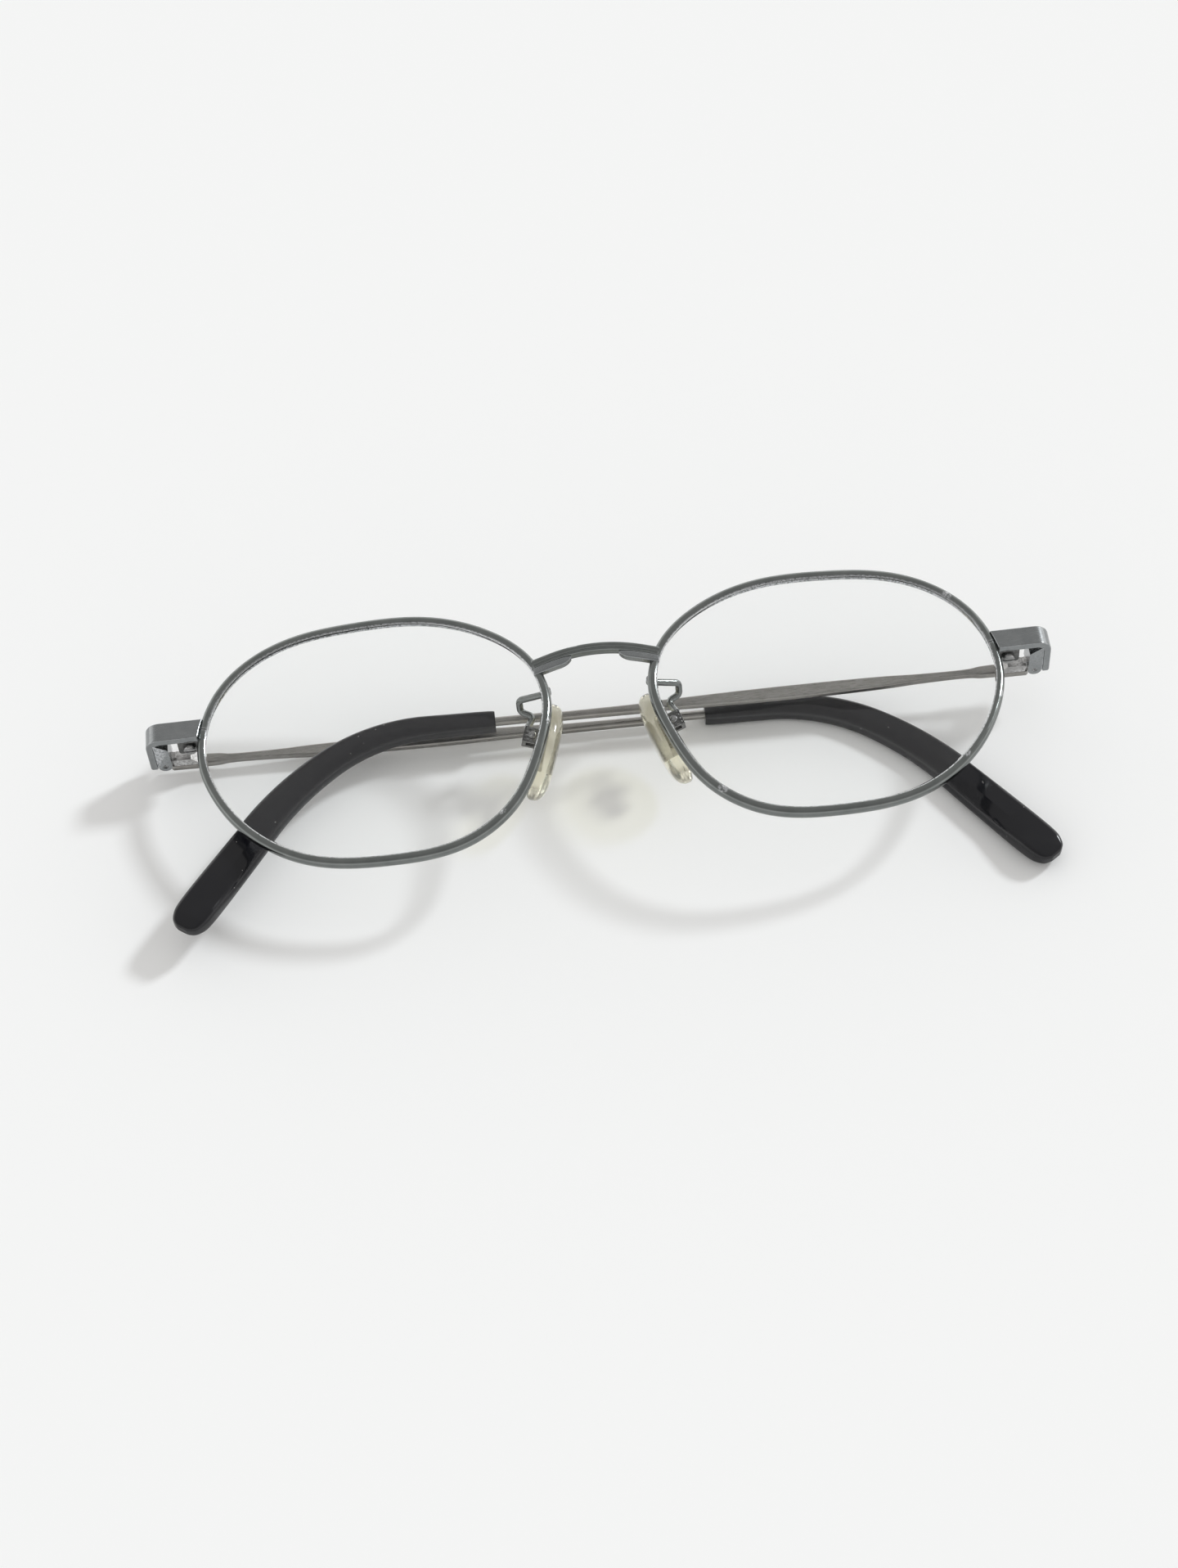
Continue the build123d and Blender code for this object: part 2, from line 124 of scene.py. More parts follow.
# Rim lock sizes
lock_start = lens_centre_out + rim_half_width - hinge_out
lock_length = 3.3
lock_depth = 2.5
lock_half_height = 1.55
lock_split = 0.12
lock_corner_radius = 0.5
lock_edge_radius = 0.12
lock_screw_radius = 0.5
lock_screw_head_radius = 0.95
lock_screw_head_height = 0.7
lock_screw_inset = 1.7
lock_screw_end_share = 0.9

# Bridge and lug sizes
bridge_bar_height = 1.35
bridge_bar_depth = 1.5
bridge_corner = 0.32
bridge_groove_width = 0.42
bridge_groove_depth = 0.16
bridge_groove_mouth_share = 1.5
bridge_groove_side_share = 0.7
bridge_end_height = 8.55
bridge_arch_rise = 1.15
bridge_arch_bulge = 1.1
bridge_shoulder_share = 0.55
bridge_shoulder_rise_share = 0.68
bridge_end_out = bridge_width / 2 + rim_thickness
lug_length = 4.4
lug_height = 1.25
lug_depth = 1.3
lug_overlap = 0.12
lug_corner = 0.3
lug_tail_share = 0.32
lug_tail_height_share = 0.35
lug_tail_depth_share = 0.6

# Temple sizes, with the radius and the angle of each bend
temple_length = 138.0
temple_straight = 88.0
temple_bends = ((25.0, radians(36.0)), (46.0, radians(18.0)))
temple_bow = 0.7
temple_thickness = 1.05
bar_start = 0.7
bar_end_radius = 0.16
bar_run_into_tip = 2.0
blade_height = 2.15
blade_corner = 0.3
rod_thickness = 1.3
rod_corner_share = 0.48
rod_rounding_start = 45.0
rod_rounding_length = 30.0
tip_start = 78.5
tip_width = 5.5
tip_thickness = 2.9
tip_corner_share = 0.3
tip_end_crowding = 1.35
tip_bevel_share = 0.4
tip_bevel_slope = 0.42
tip_bevel_rise = 0.2
tip_bevel_end = 0.93
tip_bevel_fall = 0.1
right_fold_angle = radians(88.6)
left_fold_angle = radians(91.4)

# Temple bar sections: place from the hinge to the tip, share of the blade's height, and
# how far the thickness has grown from the blade's to the rod's
bar_section_shares = [
    (0.000, 0.885, 0.0), (0.055, 0.860, 0.0), (0.095, 0.745, 0.0), (0.145, 0.530, 0.0),
    (0.184, 0.580, 0.0), (0.248, 0.790, 0.0), (0.338, 0.955, 0.0), (0.441, 1.000, 0.0),
    (0.569, 0.905, 0.1), (0.698, 0.700, 0.4), (0.788, 0.620, 0.7), (0.891, 0.600, 1.0),
    (1.000, 0.605, 1.0),
]

# Temple tip sections: place along the tip, shares of its width and thickness
tip_section_shares = [
    (0.000, 0.455, 0.690), (0.013, 0.545, 0.793), (0.109, 0.580, 0.830),
    (0.227, 0.636, 0.862), (0.345, 0.709, 0.897), (0.462, 0.782, 0.931),
    (0.580, 0.855, 0.966), (0.697, 0.927, 1.000), (0.815, 0.982, 1.000),
    (0.933, 1.000, 0.966), (0.973, 0.891, 0.828), (0.993, 0.618, 0.586),
    (1.000, 0.291, 0.310),
]

# Nose pad sizes
pad_height = 14.8
pad_width = 8.0
pad_thickness = 2.3
pad_nose_bulge = 0.75
pad_narrowing = 0.1
pad_rim_fullness = 0.42
pad_face_fullness = 0.75
pad_pole_angle = 0.03
pad_bow = 0.35
pad_out = 8.8
pad_up = -1.6
pad_back = 7.0
pad_frontal_angle = radians(18.5)
pad_splay_angle = radians(6.0)
pad_tilt_angle = radians(7.0)
pad_mount_up = 1.6
box_width = 2.3
box_height = 2.3
box_depth = 1.9
box_wall = 0.6
box_gap = 0.3
box_room = 1.1
box_ribs = 4
rib_half_share = 0.28
rib_inset = 0.2
rib_slope = 0.1
rib_height = 0.12
insert_width = 2.4
insert_height = 6.0
insert_thickness = 0.5
insert_depth = 0.85
insert_lug_width = 0.9
insert_lug_height = 1.5
insert_lug_corner = 0.2
insert_lug_clearance = 0.3
pad_metal_edge_radius = 0.07
pad_screw_radius = 0.3
pad_screw_head_radius = 0.55
pad_screw_head_height = 0.25
pad_arm_radius = 0.5
pad_arm_start_up = 4.9
pad_arm_run_back = 4.3
pad_arm_loop_out = 11.5
pad_arm_loop_up = 5.6
pad_arm_loop_drop = 0.8
pad_arm_loop_depth = 1.9
pad_arm_return_out = 9.7
pad_arm_return_up = 3.8
pad_arm_bend_radius = 0.8

# Angles in degrees above which an edge is shaded sharp, and above which it is bevelled
sharp_angle = 40
lens_sharp_angle = 25
tip_sharp_angle = 17
bevel_angle = 35


# Places in the row frame
def columns(*vectors):
    """A matrix with these columns."""
    return Matrix([list(row) for row in zip(*vectors)])


def find_front_place():
    """How the front lies in the row frame, worked out from the two hinge pins."""
    joints = {joint["name"]: joint for joint in frame["joints"]}
    left_pin = Vector(joints["left_temple_hinge"]["pos_m"])
    right_pin = Vector(joints["right_temple_hinge"]["pos_m"])
    across = (left_pin - right_pin).normalized()
    pin_way = Vector(joints["right_temple_hinge"]["axis"]).normalized()
    drawn_way = Vector((0, cos(pantoscopic_angle), -sin(pantoscopic_angle)))
    drawn = columns((1, 0, 0), drawn_way, Vector((1, 0, 0)).cross(drawn_way))
    lying = columns(across, pin_way, across.cross(pin_way))
    turn = lying @ drawn.transposed()
    move = left_pin - turn @ (Vector((hinge_out, hinge_up, -hinge_back)) * mm)
    return Matrix.Translation(move), turn.to_4x4()


def find_pad_place():
    """The left pad's place in the front: Y runs up the pad, and Z points to the nose."""
    up = Vector((-sin(pad_frontal_angle), cos(pad_frontal_angle), sin(pad_tilt_angle)))
    up.normalize()
    nose = Vector((-cos(pad_splay_angle), 0, -sin(pad_splay_angle)))
    nose = (nose - up * nose.dot(up)).normalized()
    turn = columns(up.cross(nose), up, nose)
    return Matrix.Translation((pad_out, pad_up, -pad_back)) @ turn.to_4x4()


front_move, front_turn = find_front_place()
front_place = front_move @ front_turn @ Matrix.Scale(mm, 4)
unmoved = Matrix.Identity(4)
mirror_across = Matrix.Scale(-1, 4, (1, 0, 0))
lens_place = Matrix.Translation((lens_centre_out, 0, 0)) @ Matrix.Rotation(wrap_angle, 4, "Y")
hinge_move = Matrix.Translation((hinge_out, hinge_up, -hinge_back))
hinge_place = hinge_move @ Matrix.Rotation(-pantoscopic_angle, 4, "X")
pad_place = find_pad_place()
front_way = np.array((0.0, 0.0, 1.0))
sides = {"left": (unmoved, left_fold_angle), "right": (mirror_across, right_fold_angle)}


# Lines and sections
def unit(vectors):
    return vectors / np.linalg.norm(vectors, axis=-1, keepdims=True)


def run_lengths(line):
    """The way from a line's start to each of its points."""
    return np.concatenate([[0], np.cumsum(np.linalg.norm(np.diff(line, axis=0), axis=1))])


def spline_through(points, closed):
    """A cubic spline through points, closed or with natural ends, by chord length."""
    points = np.array(points, float)
    if closed:
        points = np.vstack([points, points[:1]])
    steps = np.linalg.norm(np.diff(points, axis=0), axis=1)
    knots = run_lengths(points)
    count = len(points)
    matrix = np.zeros((count, count))
    right = np.zeros((count, points.shape[1]))
    for i in range(1, count - 1):
        matrix[i, i - 1 : i + 2] = steps[i - 1], 2 * (steps[i - 1] + steps[i]), steps[i]
        rise = (points[i + 1] - points[i]) / steps[i]
        right[i] = 6 * (rise - (points[i] - points[i - 1]) / steps[i - 1])
    if closed:
        matrix[0, 0] = 1
        matrix[0, -1] = -1
        matrix[-1, 0:2] = 2 * steps[0], steps[0]
        matrix[-1, -2:] = steps[-1], 2 * steps[-1]
        rise = (points[1] - points[0]) / steps[0]
        right[-1] = 6 * (rise - (points[-1] - points[-2]) / steps[-1])
    else:
        matrix[0, 0] = 1
        matrix[-1, -1] = 1
    bends = np.linalg.solve(matrix, right)

    def at(share):
        place = np.clip(np.asarray(share, float), 0, 1) * knots[-1]
        i = np.clip(np.searchsorted(knots, place, side="right") - 1, 0, count - 2)
        h = steps[i][:, None]
        a = (knots[i + 1] - place)[:, None]
        b = (place - knots[i])[:, None]
        near = (points[i] / h - bends[i] * h / 6) * a
        far = (points[i + 1] / h - bends[i + 1] * h / 6) * b
        return bends[i] * a**3 / (6 * h) + bends[i + 1] * b**3 / (6 * h) + near + far

    return at


def even_places(at, count, first=0.0, last=1.0, fine=4000):
    """Points of a spline at equal distances between two shares of its length."""
    line = at(np.linspace(0, 1, fine + 1))
    run = run_lengths(line)
    wanted = np.linspace(first, last, count) * run[-1]
    return np.stack([np.interp(wanted, run, line[:, i]) for i in range(3)], axis=1)


def smooth_table(rows, places, column, fine=2000):
    """A smooth curve through one column of a table of shares."""
    rows = np.array(rows, float)
    points = np.column_stack([rows[:, 0], rows[:, column], np.zeros(len(rows))])
    line = spline_through(points, False)(np.linspace(0, 1, fine))
    return np.interp(places, line[:, 0], line[:, 1])


def tangents(line):
    return unit(np.gradient(line, axis=0))


def rounded_rectangle(width, height, corner, corner_steps=6):
    """Points round a rectangle with round corners, counterclockwise."""
    points = []
    quarter = pi / 2
    for i, (x, y) in enumerate(((1, 1), (-1, 1), (-1, -1), (1, -1))):
        centre = (x * (width / 2 - corner), y * (height / 2 - corner))
        for step in range(corner_steps + 1):
            angle = quarter * (i + step / corner_steps)
            points.append((centre[0] + corner * cos(angle), centre[1] + corner * sin(angle)))
    return np.array(points)


def corner_arc(before, corner, after, radius, steps=8):
    """Points of the arc that rounds the corner between two neighbours."""
    back = unit(before - corner)
    on = unit(after - corner)
    half = np.arccos(np.clip((back * on).sum(), -1, 1)) / 2
    reach = radius / tan(half)
    centre = corner + unit(back + on) * radius / sin(half)
    first = corner + back * reach - centre
    last = corner + on * reach - centre
    shares = np.arange(steps + 1) / steps
    return [centre + unit(first * (1 - share) + last * share) * radius for share in shares]


def rounded_outline(corners):
    """A closed outline from corners, each given by its two places and its radius."""
    places = np.array([corner[:2] for corner in corners], float)
    line = []
    for i, (_, _, radius) in enumerate(corners):
        here = places[i]
        after = places[(i + 1) % len(places)]
        line += corner_arc(places[i - 1], here, after, radius) if radius else [here]
    return line


def rounded_route(corners, radius):
    """Straight runs joined by arcs of one radius."""
    corners = np.array(corners, float)
    route = [corners[0]]
    for before, corner, after in zip(corners, corners[1:], corners[2:]):
        route += corner_arc(before, corner, after, radius)
    return np.array(route + [corners[-1]])


def arc_points(start, middle, end, count=7):
    """Points of the arc through three points, ends included."""
    (ax, ay), (bx, by), (cx, cy) = start, middle, end
    twice = 2 * (ax * (by - cy) + bx * (cy - ay) + cx * (ay - by))
    a, b, c = ax * ax + ay * ay, bx * bx + by * by, cx * cx + cy * cy
    x = (a * (by - cy) + b * (cy - ay) + c * (ay - by)) / twice
    y = (a * (cx - bx) + b * (ax - cx) + c * (bx - ax)) / twice
    radius = sqrt((ax - x) ** 2 + (ay - y) ** 2)
    first = np.arctan2(ay - y, ax - x)
    turn = np.arctan2(cy - y, cx - x) - first
    turn = (turn + pi) % (2 * pi) - pi
    angles = first + np.linspace(0, 1, count) * turn
    return [(x + radius * cos(t), y + radius * sin(t)) for t in angles]


def half_round(radius, steps=24, up=0.0):
    """Half a turn in a plan: above its middle, or below it when the radius is negative."""
    return [(radius * cos(t), up + radius * sin(t)) for t in np.linspace(0, pi, steps + 1)]


# Shapes, each made of points, faces and map coordinates
def skin(rings):
    """Faces over equal closed rings, with capped ends and a map in millimetres."""
    rings = np.array(rings)
    count, around, _ = rings.shape
    along = run_lengths(rings.mean(axis=1))
    ring = rings[count // 2]
    girth = run_lengths(np.vstack([ring, ring[:1]]))
    faces = []
    maps = []
    for i in range(count - 1):
        here = i * around
        there = here + around
        for j in range(around):
            n = (j + 1) % around
            faces.append((here + j, here + n, there + n, there + j))
            maps += [(along[i], girth[j]), (along[i], girth[j + 1])]
            maps += [(along[i + 1], girth[j + 1]), (along[i + 1], girth[j])]
    for end in (range(around - 1, -1, -1), range((count - 1) * around, count * around)):
        faces.append(tuple(end))
        maps += [(0.0, 0.0)] * around
    return rings.reshape(-1, 3), faces, maps


def sweep(line, section):
    """Carries a section along a line, with its X to the right and its Y to the front."""
    along = tangents(line)
    front = unit(front_way - along * (along * front_way).sum(axis=1, keepdims=True))
    right = np.cross(along, front)
    across = right[:, None, :] * section[None, :, :1]
    return skin(line[:, None, :] + across + front[:, None, :] * section[None, :, 1:])


def tube(route, radius, around=20, side_hint=(0.3, 0.9, 0.2)):
    """A round wire along a route, its frame carried on without twist."""
    along = tangents(route)
    side = unit(np.cross(along[0], side_hint))
    angles = np.linspace(0, 2 * pi, around, endpoint=False)
    rings = []
    for point, way in zip(route, along):
        side = unit(side - way * (side * way).sum())
        other = np.cross(way, side)
        spokes = np.cos(angles)[:, None] * side + np.sin(angles)[:, None] * other
        rings.append(point + radius * spokes)
    return skin(rings)


def turned(profile, around=48):
    """A piece turned round Y, from a profile of radius and height."""
    angles = np.linspace(0, 2 * pi, around, endpoint=False)
    rings = []
    for radius, height in profile:
        ring = [np.cos(angles) * radius, np.full(around, height), np.sin(angles) * radius]
        rings.append(np.column_stack(ring))
    return skin(rings)


def block(outline, low, high):
    """A block over a plan of X and Z, between two heights along Y."""
    count = len(outline)
    points = [(x, y, z) for y in (low, high) for x, z in outline]
    faces = [tuple(range(count)), tuple(range(2 * count - 1, count - 1, -1))]
    for i in range(count):
        n = (i + 1) % count
        faces.append((i, n, count + n, count + i))
    maps = [(0.0, 0.0)] * sum(len(face) for face in faces)
    return points, faces, maps


def laid_flat(shape):
    """The same block with its plan in X and Y, and its heights along Z."""
    points, faces, maps = shape
    return [(x, z, y) for x, y, z in points], faces, maps


def moved(shape, matrix):
    points, faces, maps = shape
    return [tuple(matrix @ Vector(p)) for p in points], faces, maps


def join_shapes(*shapes):
    points = []
    faces = []
    maps = []
    for some_points, some_faces, some_maps in shapes:
        start = len(points)
        points += [tuple(p) for p in some_points]
        faces += [tuple(start + i for i in face) for face in some_faces]
        maps += list(some_maps)
    return points, faces, maps


# Blender objects
def new_object(name, data):
    made = bpy.data.objects.new(name, data)
    bpy.context.scene.collection.objects.link(made)
    return made


def shade_smooth(piece, sharp=sharp_angle):
    piece.data.polygons.foreach_set("use_smooth", [True] * len(piece.data.polygons))
    piece.data.set_sharp_from_angle(angle=radians(sharp))


def build(name, shape, place, sharp=sharp_angle):
    """A mesh object from a shape, placed in the front and so in the row frame."""
    points, faces, maps = shape
    mesh = bpy.data.meshes.new(name)
    mesh.from_pydata([tuple(p) for p in points], [], faces)
    layer = mesh.uv_layers.new(name="along")
    layer.data.foreach_set("uv", np.array(maps, np.float32).ravel())
    mesh.transform(front_place @ place)
    form = bmesh.new()
    form.from_mesh(mesh)
    bmesh.ops.recalc_face_normals(form, faces=form.faces)
    form.to_mesh(mesh)
    form.free()
    piece = new_object(name, mesh)
    shade_smooth(piece, sharp)
    return piece


def soften(piece, width, segments=3):
    """Rounds a piece's edges by a bevel."""
    bevel = piece.modifiers.new("soft_edges", "BEVEL")
    bevel.width = width * mm
    bevel.segments = segments
    bevel.limit_method = "ANGLE"
    bevel.angle_limit = radians(bevel_angle)
    bevel.harden_normals = True


def cut(piece, cutter):
    """Takes the cutter's volume out of a piece, and deletes the cutter."""
    removal = piece.modifiers.new("cut", "BOOLEAN")
    removal.operation = "DIFFERENCE"
    removal.solver = "EXACT"
    removal.object = cutter
    graph = bpy.context.evaluated_depsgraph_get()
    piece.data = bpy.data.meshes.new_from_object(piece.evaluated_get(graph))
    piece.modifiers.clear()
    bpy.data.objects.remove(cutter)
    shade_smooth(piece)


def finish_piece(piece, body, material, node):
    """Gives a piece its material, its body and the node that it stands for."""
    piece.data.materials.append(material)
    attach(piece, body)
    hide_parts(node)


def front_pair(part, shape, material, sharp=sharp_angle):
    """A left and a right piece of the front that stand for one node each."""
    for side, (mirror, _) in sides.items():
        piece = build(side + "_" + part + "_made", shape, mirror, sharp)
        finish_piece(piece, "front", material, side + "_" + part)


def temple_pair(part, shape, material, sharp=sharp_angle):
    """A piece of each temple, drawn open in the hinge's frame and folded here."""
    for side, (mirror, fold_angle) in sides.items():
        place = mirror @ hinge_place @ Matrix.Rotation(fold_angle, 4, "Y")
        piece = build(side + "_" + part + "_made", shape, place, sharp)
        finish_piece(piece, side + "_temple", material, side + "_" + part)


# Looks, with linear colours and with depths in millimetres

# Each metal: dark patches, light patches, worn edges, roughness, and whether the brushing
# follows the piece's own map
metal_looks = {
    "frame_metal": ((0.14, 0.152, 0.148), (0.225, 0.236, 0.23), (0.78, 0.79, 0.82), 0.13, True),
    "temple_metal": ((0.23, 0.225, 0.21), (0.32, 0.31, 0.295), (0.72, 0.72, 0.72), 0.3, True),
    "block_metal": ((0.20, 0.212, 0.218), (0.30, 0.31, 0.312), (0.78, 0.79, 0.82), 0.2, False),
    "leaf_metal": ((0.27, 0.265, 0.26), (0.36, 0.355, 0.35), (0.78, 0.78, 0.78), 0.3, False),
    # dark_metal is near black: on the rim locks this darkness is painted shade, the shade under
    # the endpiece's plate
    "dark_metal": ((0.06, 0.062, 0.062), (0.13, 0.13, 0.125), (0.5, 0.5, 0.5), 0.3, False),
    # screw_metal is darkened: partly the screws' own tone, partly painted shade, as the closing
    # screw lies in shade under the endpiece's plate
    "screw_metal": ((0.2, 0.2, 0.2), (0.32, 0.32, 0.32), (0.7, 0.7, 0.7), 0.22, False),
    "insert_metal": ((0.36, 0.35, 0.31), (0.5, 0.49, 0.45), (0.8, 0.8, 0.8), 0.3, False),
}
fine_stretch = (0.6, 14.0, 14.0)
broad_stretch = (0.25, 4.0, 4.0)
patch_stretch = (0.5, 0.5, 0.5)
smear_stretch = (0.12, 0.3, 0.3)
scratch_stretch = (0.15, 5.0, 5.0)
scratch_turns = ((0.3, 1.1), (-0.7, 0.8), (1.2, 1.4))
usual_noise = (0.3, 0.7)
worn_edges = (0.52, 0.60)
worn_noise = (0.35, 0.6)
smear_noise = (0.4, 0.75)
scratch_noise = (0.66, 0.72)
speck_edge = (0.06, 0.12)
speck_rarity = 0.9
wear_reach = 0.6
wear_polish = 0.06
brushing_smoother = 0.06
brushing_rougher = 0.1
brushing_strength = 0.5
brushing_depth = 0.01

lens_tint = (0.99, 0.994, 0.992, 1)
lens_shadow_tint = (0.99, 0.992, 0.99, 1)
lens_refraction = 1.28
lens_smear_roughness = 0.012

pad_clear_tint = (0.975, 0.965, 0.87, 1)
pad_yellow_tint = (0.96, 0.90, 0.66, 1)
pad_shadow_tint = (0.90, 0.89, 0.80, 1)
pad_refraction = 1.43
pad_smooth = 0.06
pad_satin = 0.14
pad_grain_strength = 0.1
pad_grain_depth = 0.02

tip_black = (0.004, 0.004, 0.006, 1)
tip_charcoal = (0.009, 0.009, 0.011, 1)
dust_colour = (0.45, 0.44, 0.42, 1)
dust_cover = 0.9
dust_roughness = 0.4
tip_polish = 0.1
tip_smear_roughness = 0.2
tip_refraction = 1.42
scratch_strength = 0.25
scratch_depth = 0.004


# Node groups
class Wires:
    """Adds nodes to a tree and joins their sockets."""

    def __init__(self, tree):
        self.tree = tree

    def put(self, node, socket, value):
        """Sets an input to a value, or joins it to a socket."""
        target = node.inputs[socket]
        if isinstance(value, bpy.types.NodeSocket):
            self.tree.links.new(value, target)
        else:
            target.default_value = value

    def fill(self, node, **inputs):
        """Puts several inputs. An underscore in a name stands for a space."""
        for key, value in inputs.items():
            self.put(node, key.replace("_", " "), value)

    def add(self, kind, settings=None, **inputs):
        node = self.tree.nodes.new(kind)
        for key, value in (settings or {}).items():
            setattr(node, key, value)
        self.fill(node, **inputs)
        return node

    def math(self, operation, first, second=0.0, clamp=False):
        node = self.add("ShaderNodeMath", {"operation": operation, "use_clamp": clamp})
        self.put(node, 0, first)
        self.put(node, 1, second)
        return node.outputs[0]

    def spread(self, value, low, high, out_low=0.0, out_high=1.0):
        """Carries a value from one range to another by a soft step."""
        node = self.add("ShaderNodeMapRange", {"interpolation_type": "SMOOTHSTEP"})
        for socket, number in enumerate((value, low, high, out_low, out_high)):
            self.put(node, socket, number)
        return node.outputs[0]

    def mix(self, share, first, second):
        node = self.add("ShaderNodeMix", {"data_type": "RGBA"})
        self.put(node, 0, share)
        self.put(node, 6, first)
        self.put(node, 7, second)
        return node.outputs[2]

    def noise(self, vector, scale=1.0, detail=2.0, roughness=0.5):
        node = self.add("ShaderNodeTexNoise", None, Vector=vector, Scale=scale)
        self.fill(node, Detail=detail, Roughness=roughness)
        return node.outputs["Fac"]

    def stretch(self, vector, scale, turn=0.0):
        node = self.add("ShaderNodeMapping", None, Vector=vector, Scale=scale)
        self.fill(node, Rotation=(0.0, 0.0, turn))
        return node.outputs["Vector"]

    def use_group(self, group, vector, **inputs):
        """Places a node group and gives its outputs."""
        return self.add("ShaderNodeGroup", {"node_tree": group}, Vector=vector, **inputs).outputs

    def bump(self, shader, height, strength, depth, invert=False):
        node = self.add("ShaderNodeBump", {"invert": invert}, Height=height)
        self.fill(node, Strength=strength, Distance=depth * mm)
        self.put(shader, "Normal", node.outputs["Normal"])


def new_group(name, outputs, **numbers):
    """An empty node group with a Vector input, number inputs and number outputs."""
    group = bpy.data.node_groups.new(name, "ShaderNodeTree")
    group.interface.new_socket("Vector", in_out="INPUT", socket_type="NodeSocketVector")
    for label, value in numbers.items():
        socket = group.interface.new_socket(label, in_out="INPUT", socket_type="NodeSocketFloat")
        socket.default_value = value
    for label in outputs:
        group.interface.new_socket(label, in_out="OUTPUT", socket_type="NodeSocketFloat")
    given = group.nodes.new("NodeGroupInput").outputs
    last = group.nodes.new("NodeGroupOutput")
    return group, Wires(group), given, last


def brushed_group(fine_share=0.7):
    """Fine lines along the first map coordinate, as a satin wheel leaves them."""
    group, wires, given, last = new_group("satin_brushing", ("Lines", "Patches"))
    fine = wires.noise(wires.stretch(given["Vector"], fine_stretch), detail=3.0)
    broad = wires.noise(wires.stretch(given["Vector"], broad_stretch), detail=2.0)
    fine = wires.math("MULTIPLY", fine, fine_share)
    broad = wires.math("MULTIPLY", broad, 1 - fine_share)
    wires.put(last, "Lines", wires.math("ADD", fine, broad))
    patches = wires.noise(wires.stretch(given["Vector"], patch_stretch), detail=3.0)
    wires.put(last, "Patches", patches)
    return group


def wear_group():
    """Worn corners, where plating is rubbed thin, broken up by noise."""
    group, wires, given, last = new_group("edge_wear", ("Mask",), Reach=0.5)
    edges = wires.add("ShaderNodeNewGeometry").outputs["Pointiness"]
    mask = wires.spread(edges, *worn_edges)
    breakup = wires.noise(given["Vector"], scale=3.0, detail=4.0, roughness=0.6)
    mask = wires.math("MULTIPLY", mask, wires.spread(breakup, *worn_noise))
    wires.put(last, "Mask", wires.math("MULTIPLY", mask, given["Reach"], clamp=True))
    return group


def dust_group(cells_to_mm=1.6):
    """Sparse fine specks and faint smears left by fingers."""
    group, wires, given, last = new_group("dust_and_smears", ("Specks", "Smears"))
    vector = given["Vector"]
    cells = wires.add("ShaderNodeTexVoronoi", None, Vector=vector, Scale=cells_to_mm).outputs
    specks = wires.spread(cells["Distance"], *speck_edge, 1.0, 0.0)
    chance = wires.add("ShaderNodeSeparateColor", None, Color=cells["Color"]).outputs["Red"]
    rare = wires.math("GREATER_THAN", chance, speck_rarity)
    wires.put(last, "Specks", wires.math("MULTIPLY", specks, rare))
    smears = wires.noise(wires.stretch(vector, smear_stretch), detail=4.0)
    wires.put(last, "Smears", wires.spread(smears, *smear_noise))
    return group


def scratch_group():
    """Hairline scratches that cross each other, each set by its turn and its fineness."""
    group, wires, given, last = new_group("hairline_scratches", ("Height",))
    total = None
    for turn, fineness in scratch_turns:
        scale = tuple(number * fineness for number in scratch_stretch)
        lines = wires.noise(wires.stretch(given["Vector"], scale, turn), roughness=0.6)
        lines = wires.spread(lines, *scratch_noise)
        total = lines if total is None else wires.math("MAXIMUM", total, lines)
    wires.put(last, "Height", total)
    return group


satin_brushing = brushed_group()
edge_wear = wear_group()
dust_and_smears = dust_group()
hairline_scratches = scratch_group()


# Materials
def new_material(name):
    material = bpy.data.materials.new(name)
    material.use_nodes = True
    wires = Wires(material.node_tree)
    shader = material.node_tree.nodes["Principled BSDF"]
    return material, wires, shader


def place_vector(wires):
    """A piece's place, in millimetres."""
    place = wires.add("ShaderNodeTexCoord").outputs["Object"]
    return wires.stretch(place, (1 / mm, 1 / mm, 1 / mm))


def map_vector(wires):
    """A piece's own map, in millimetres."""
    return wires.add("ShaderNodeUVMap", {"uv_map": "along"}).outputs["UV"]


def let_light_through(material, wires, shader, tint):
    """Lets light and shadow straight through a clear material, a little tinted."""
    clear = wires.add("ShaderNodeBsdfTransparent", None, Color=tint)
    path = wires.add("ShaderNodeLightPath").outputs
    mixed = wires.add("ShaderNodeMixShader")
    wires.put(mixed, 0, wires.math("MAXIMUM", path["Is Shadow Ray"], path["Is Diffuse Ray"]))
    wires.put(mixed, 1, shader.outputs[0])
    wires.put(mixed, 2, clear.outputs[0])
    output = material.node_tree.nodes["Material Output"]
    wires.put(output, "Surface", mixed.outputs[0])


def plated_metal(name, dark, light, worn, roughness, mapped):
    """Satin plated metal: brushed, a little patchy, and brighter where it is worn."""
    material, wires, shader = new_material(name)
    vector = map_vector(wires) if mapped else place_vector(wires)
    brushing = wires.use_group(satin_brushing, vector)
    mask = wires.use_group(edge_wear, vector, Reach=wear_reach)["Mask"]
    colour = wires.mix(brushing["Patches"], (*dark, 1), (*light, 1))
    colour = wires.mix(mask, colour, (*worn, 1))
    limits = (roughness - brushing_smoother, roughness + brushing_rougher)
    rough = wires.spread(brushing["Lines"], *usual_noise, *limits)
    rough = wires.math("SUBTRACT", rough, wires.math("MULTIPLY", mask, wear_polish))
    wires.fill(shader, Base_Color=colour, Metallic=1.0, Roughness=rough)
    wires.bump(shader, brushing["Lines"], brushing_strength, brushing_depth)
    return material


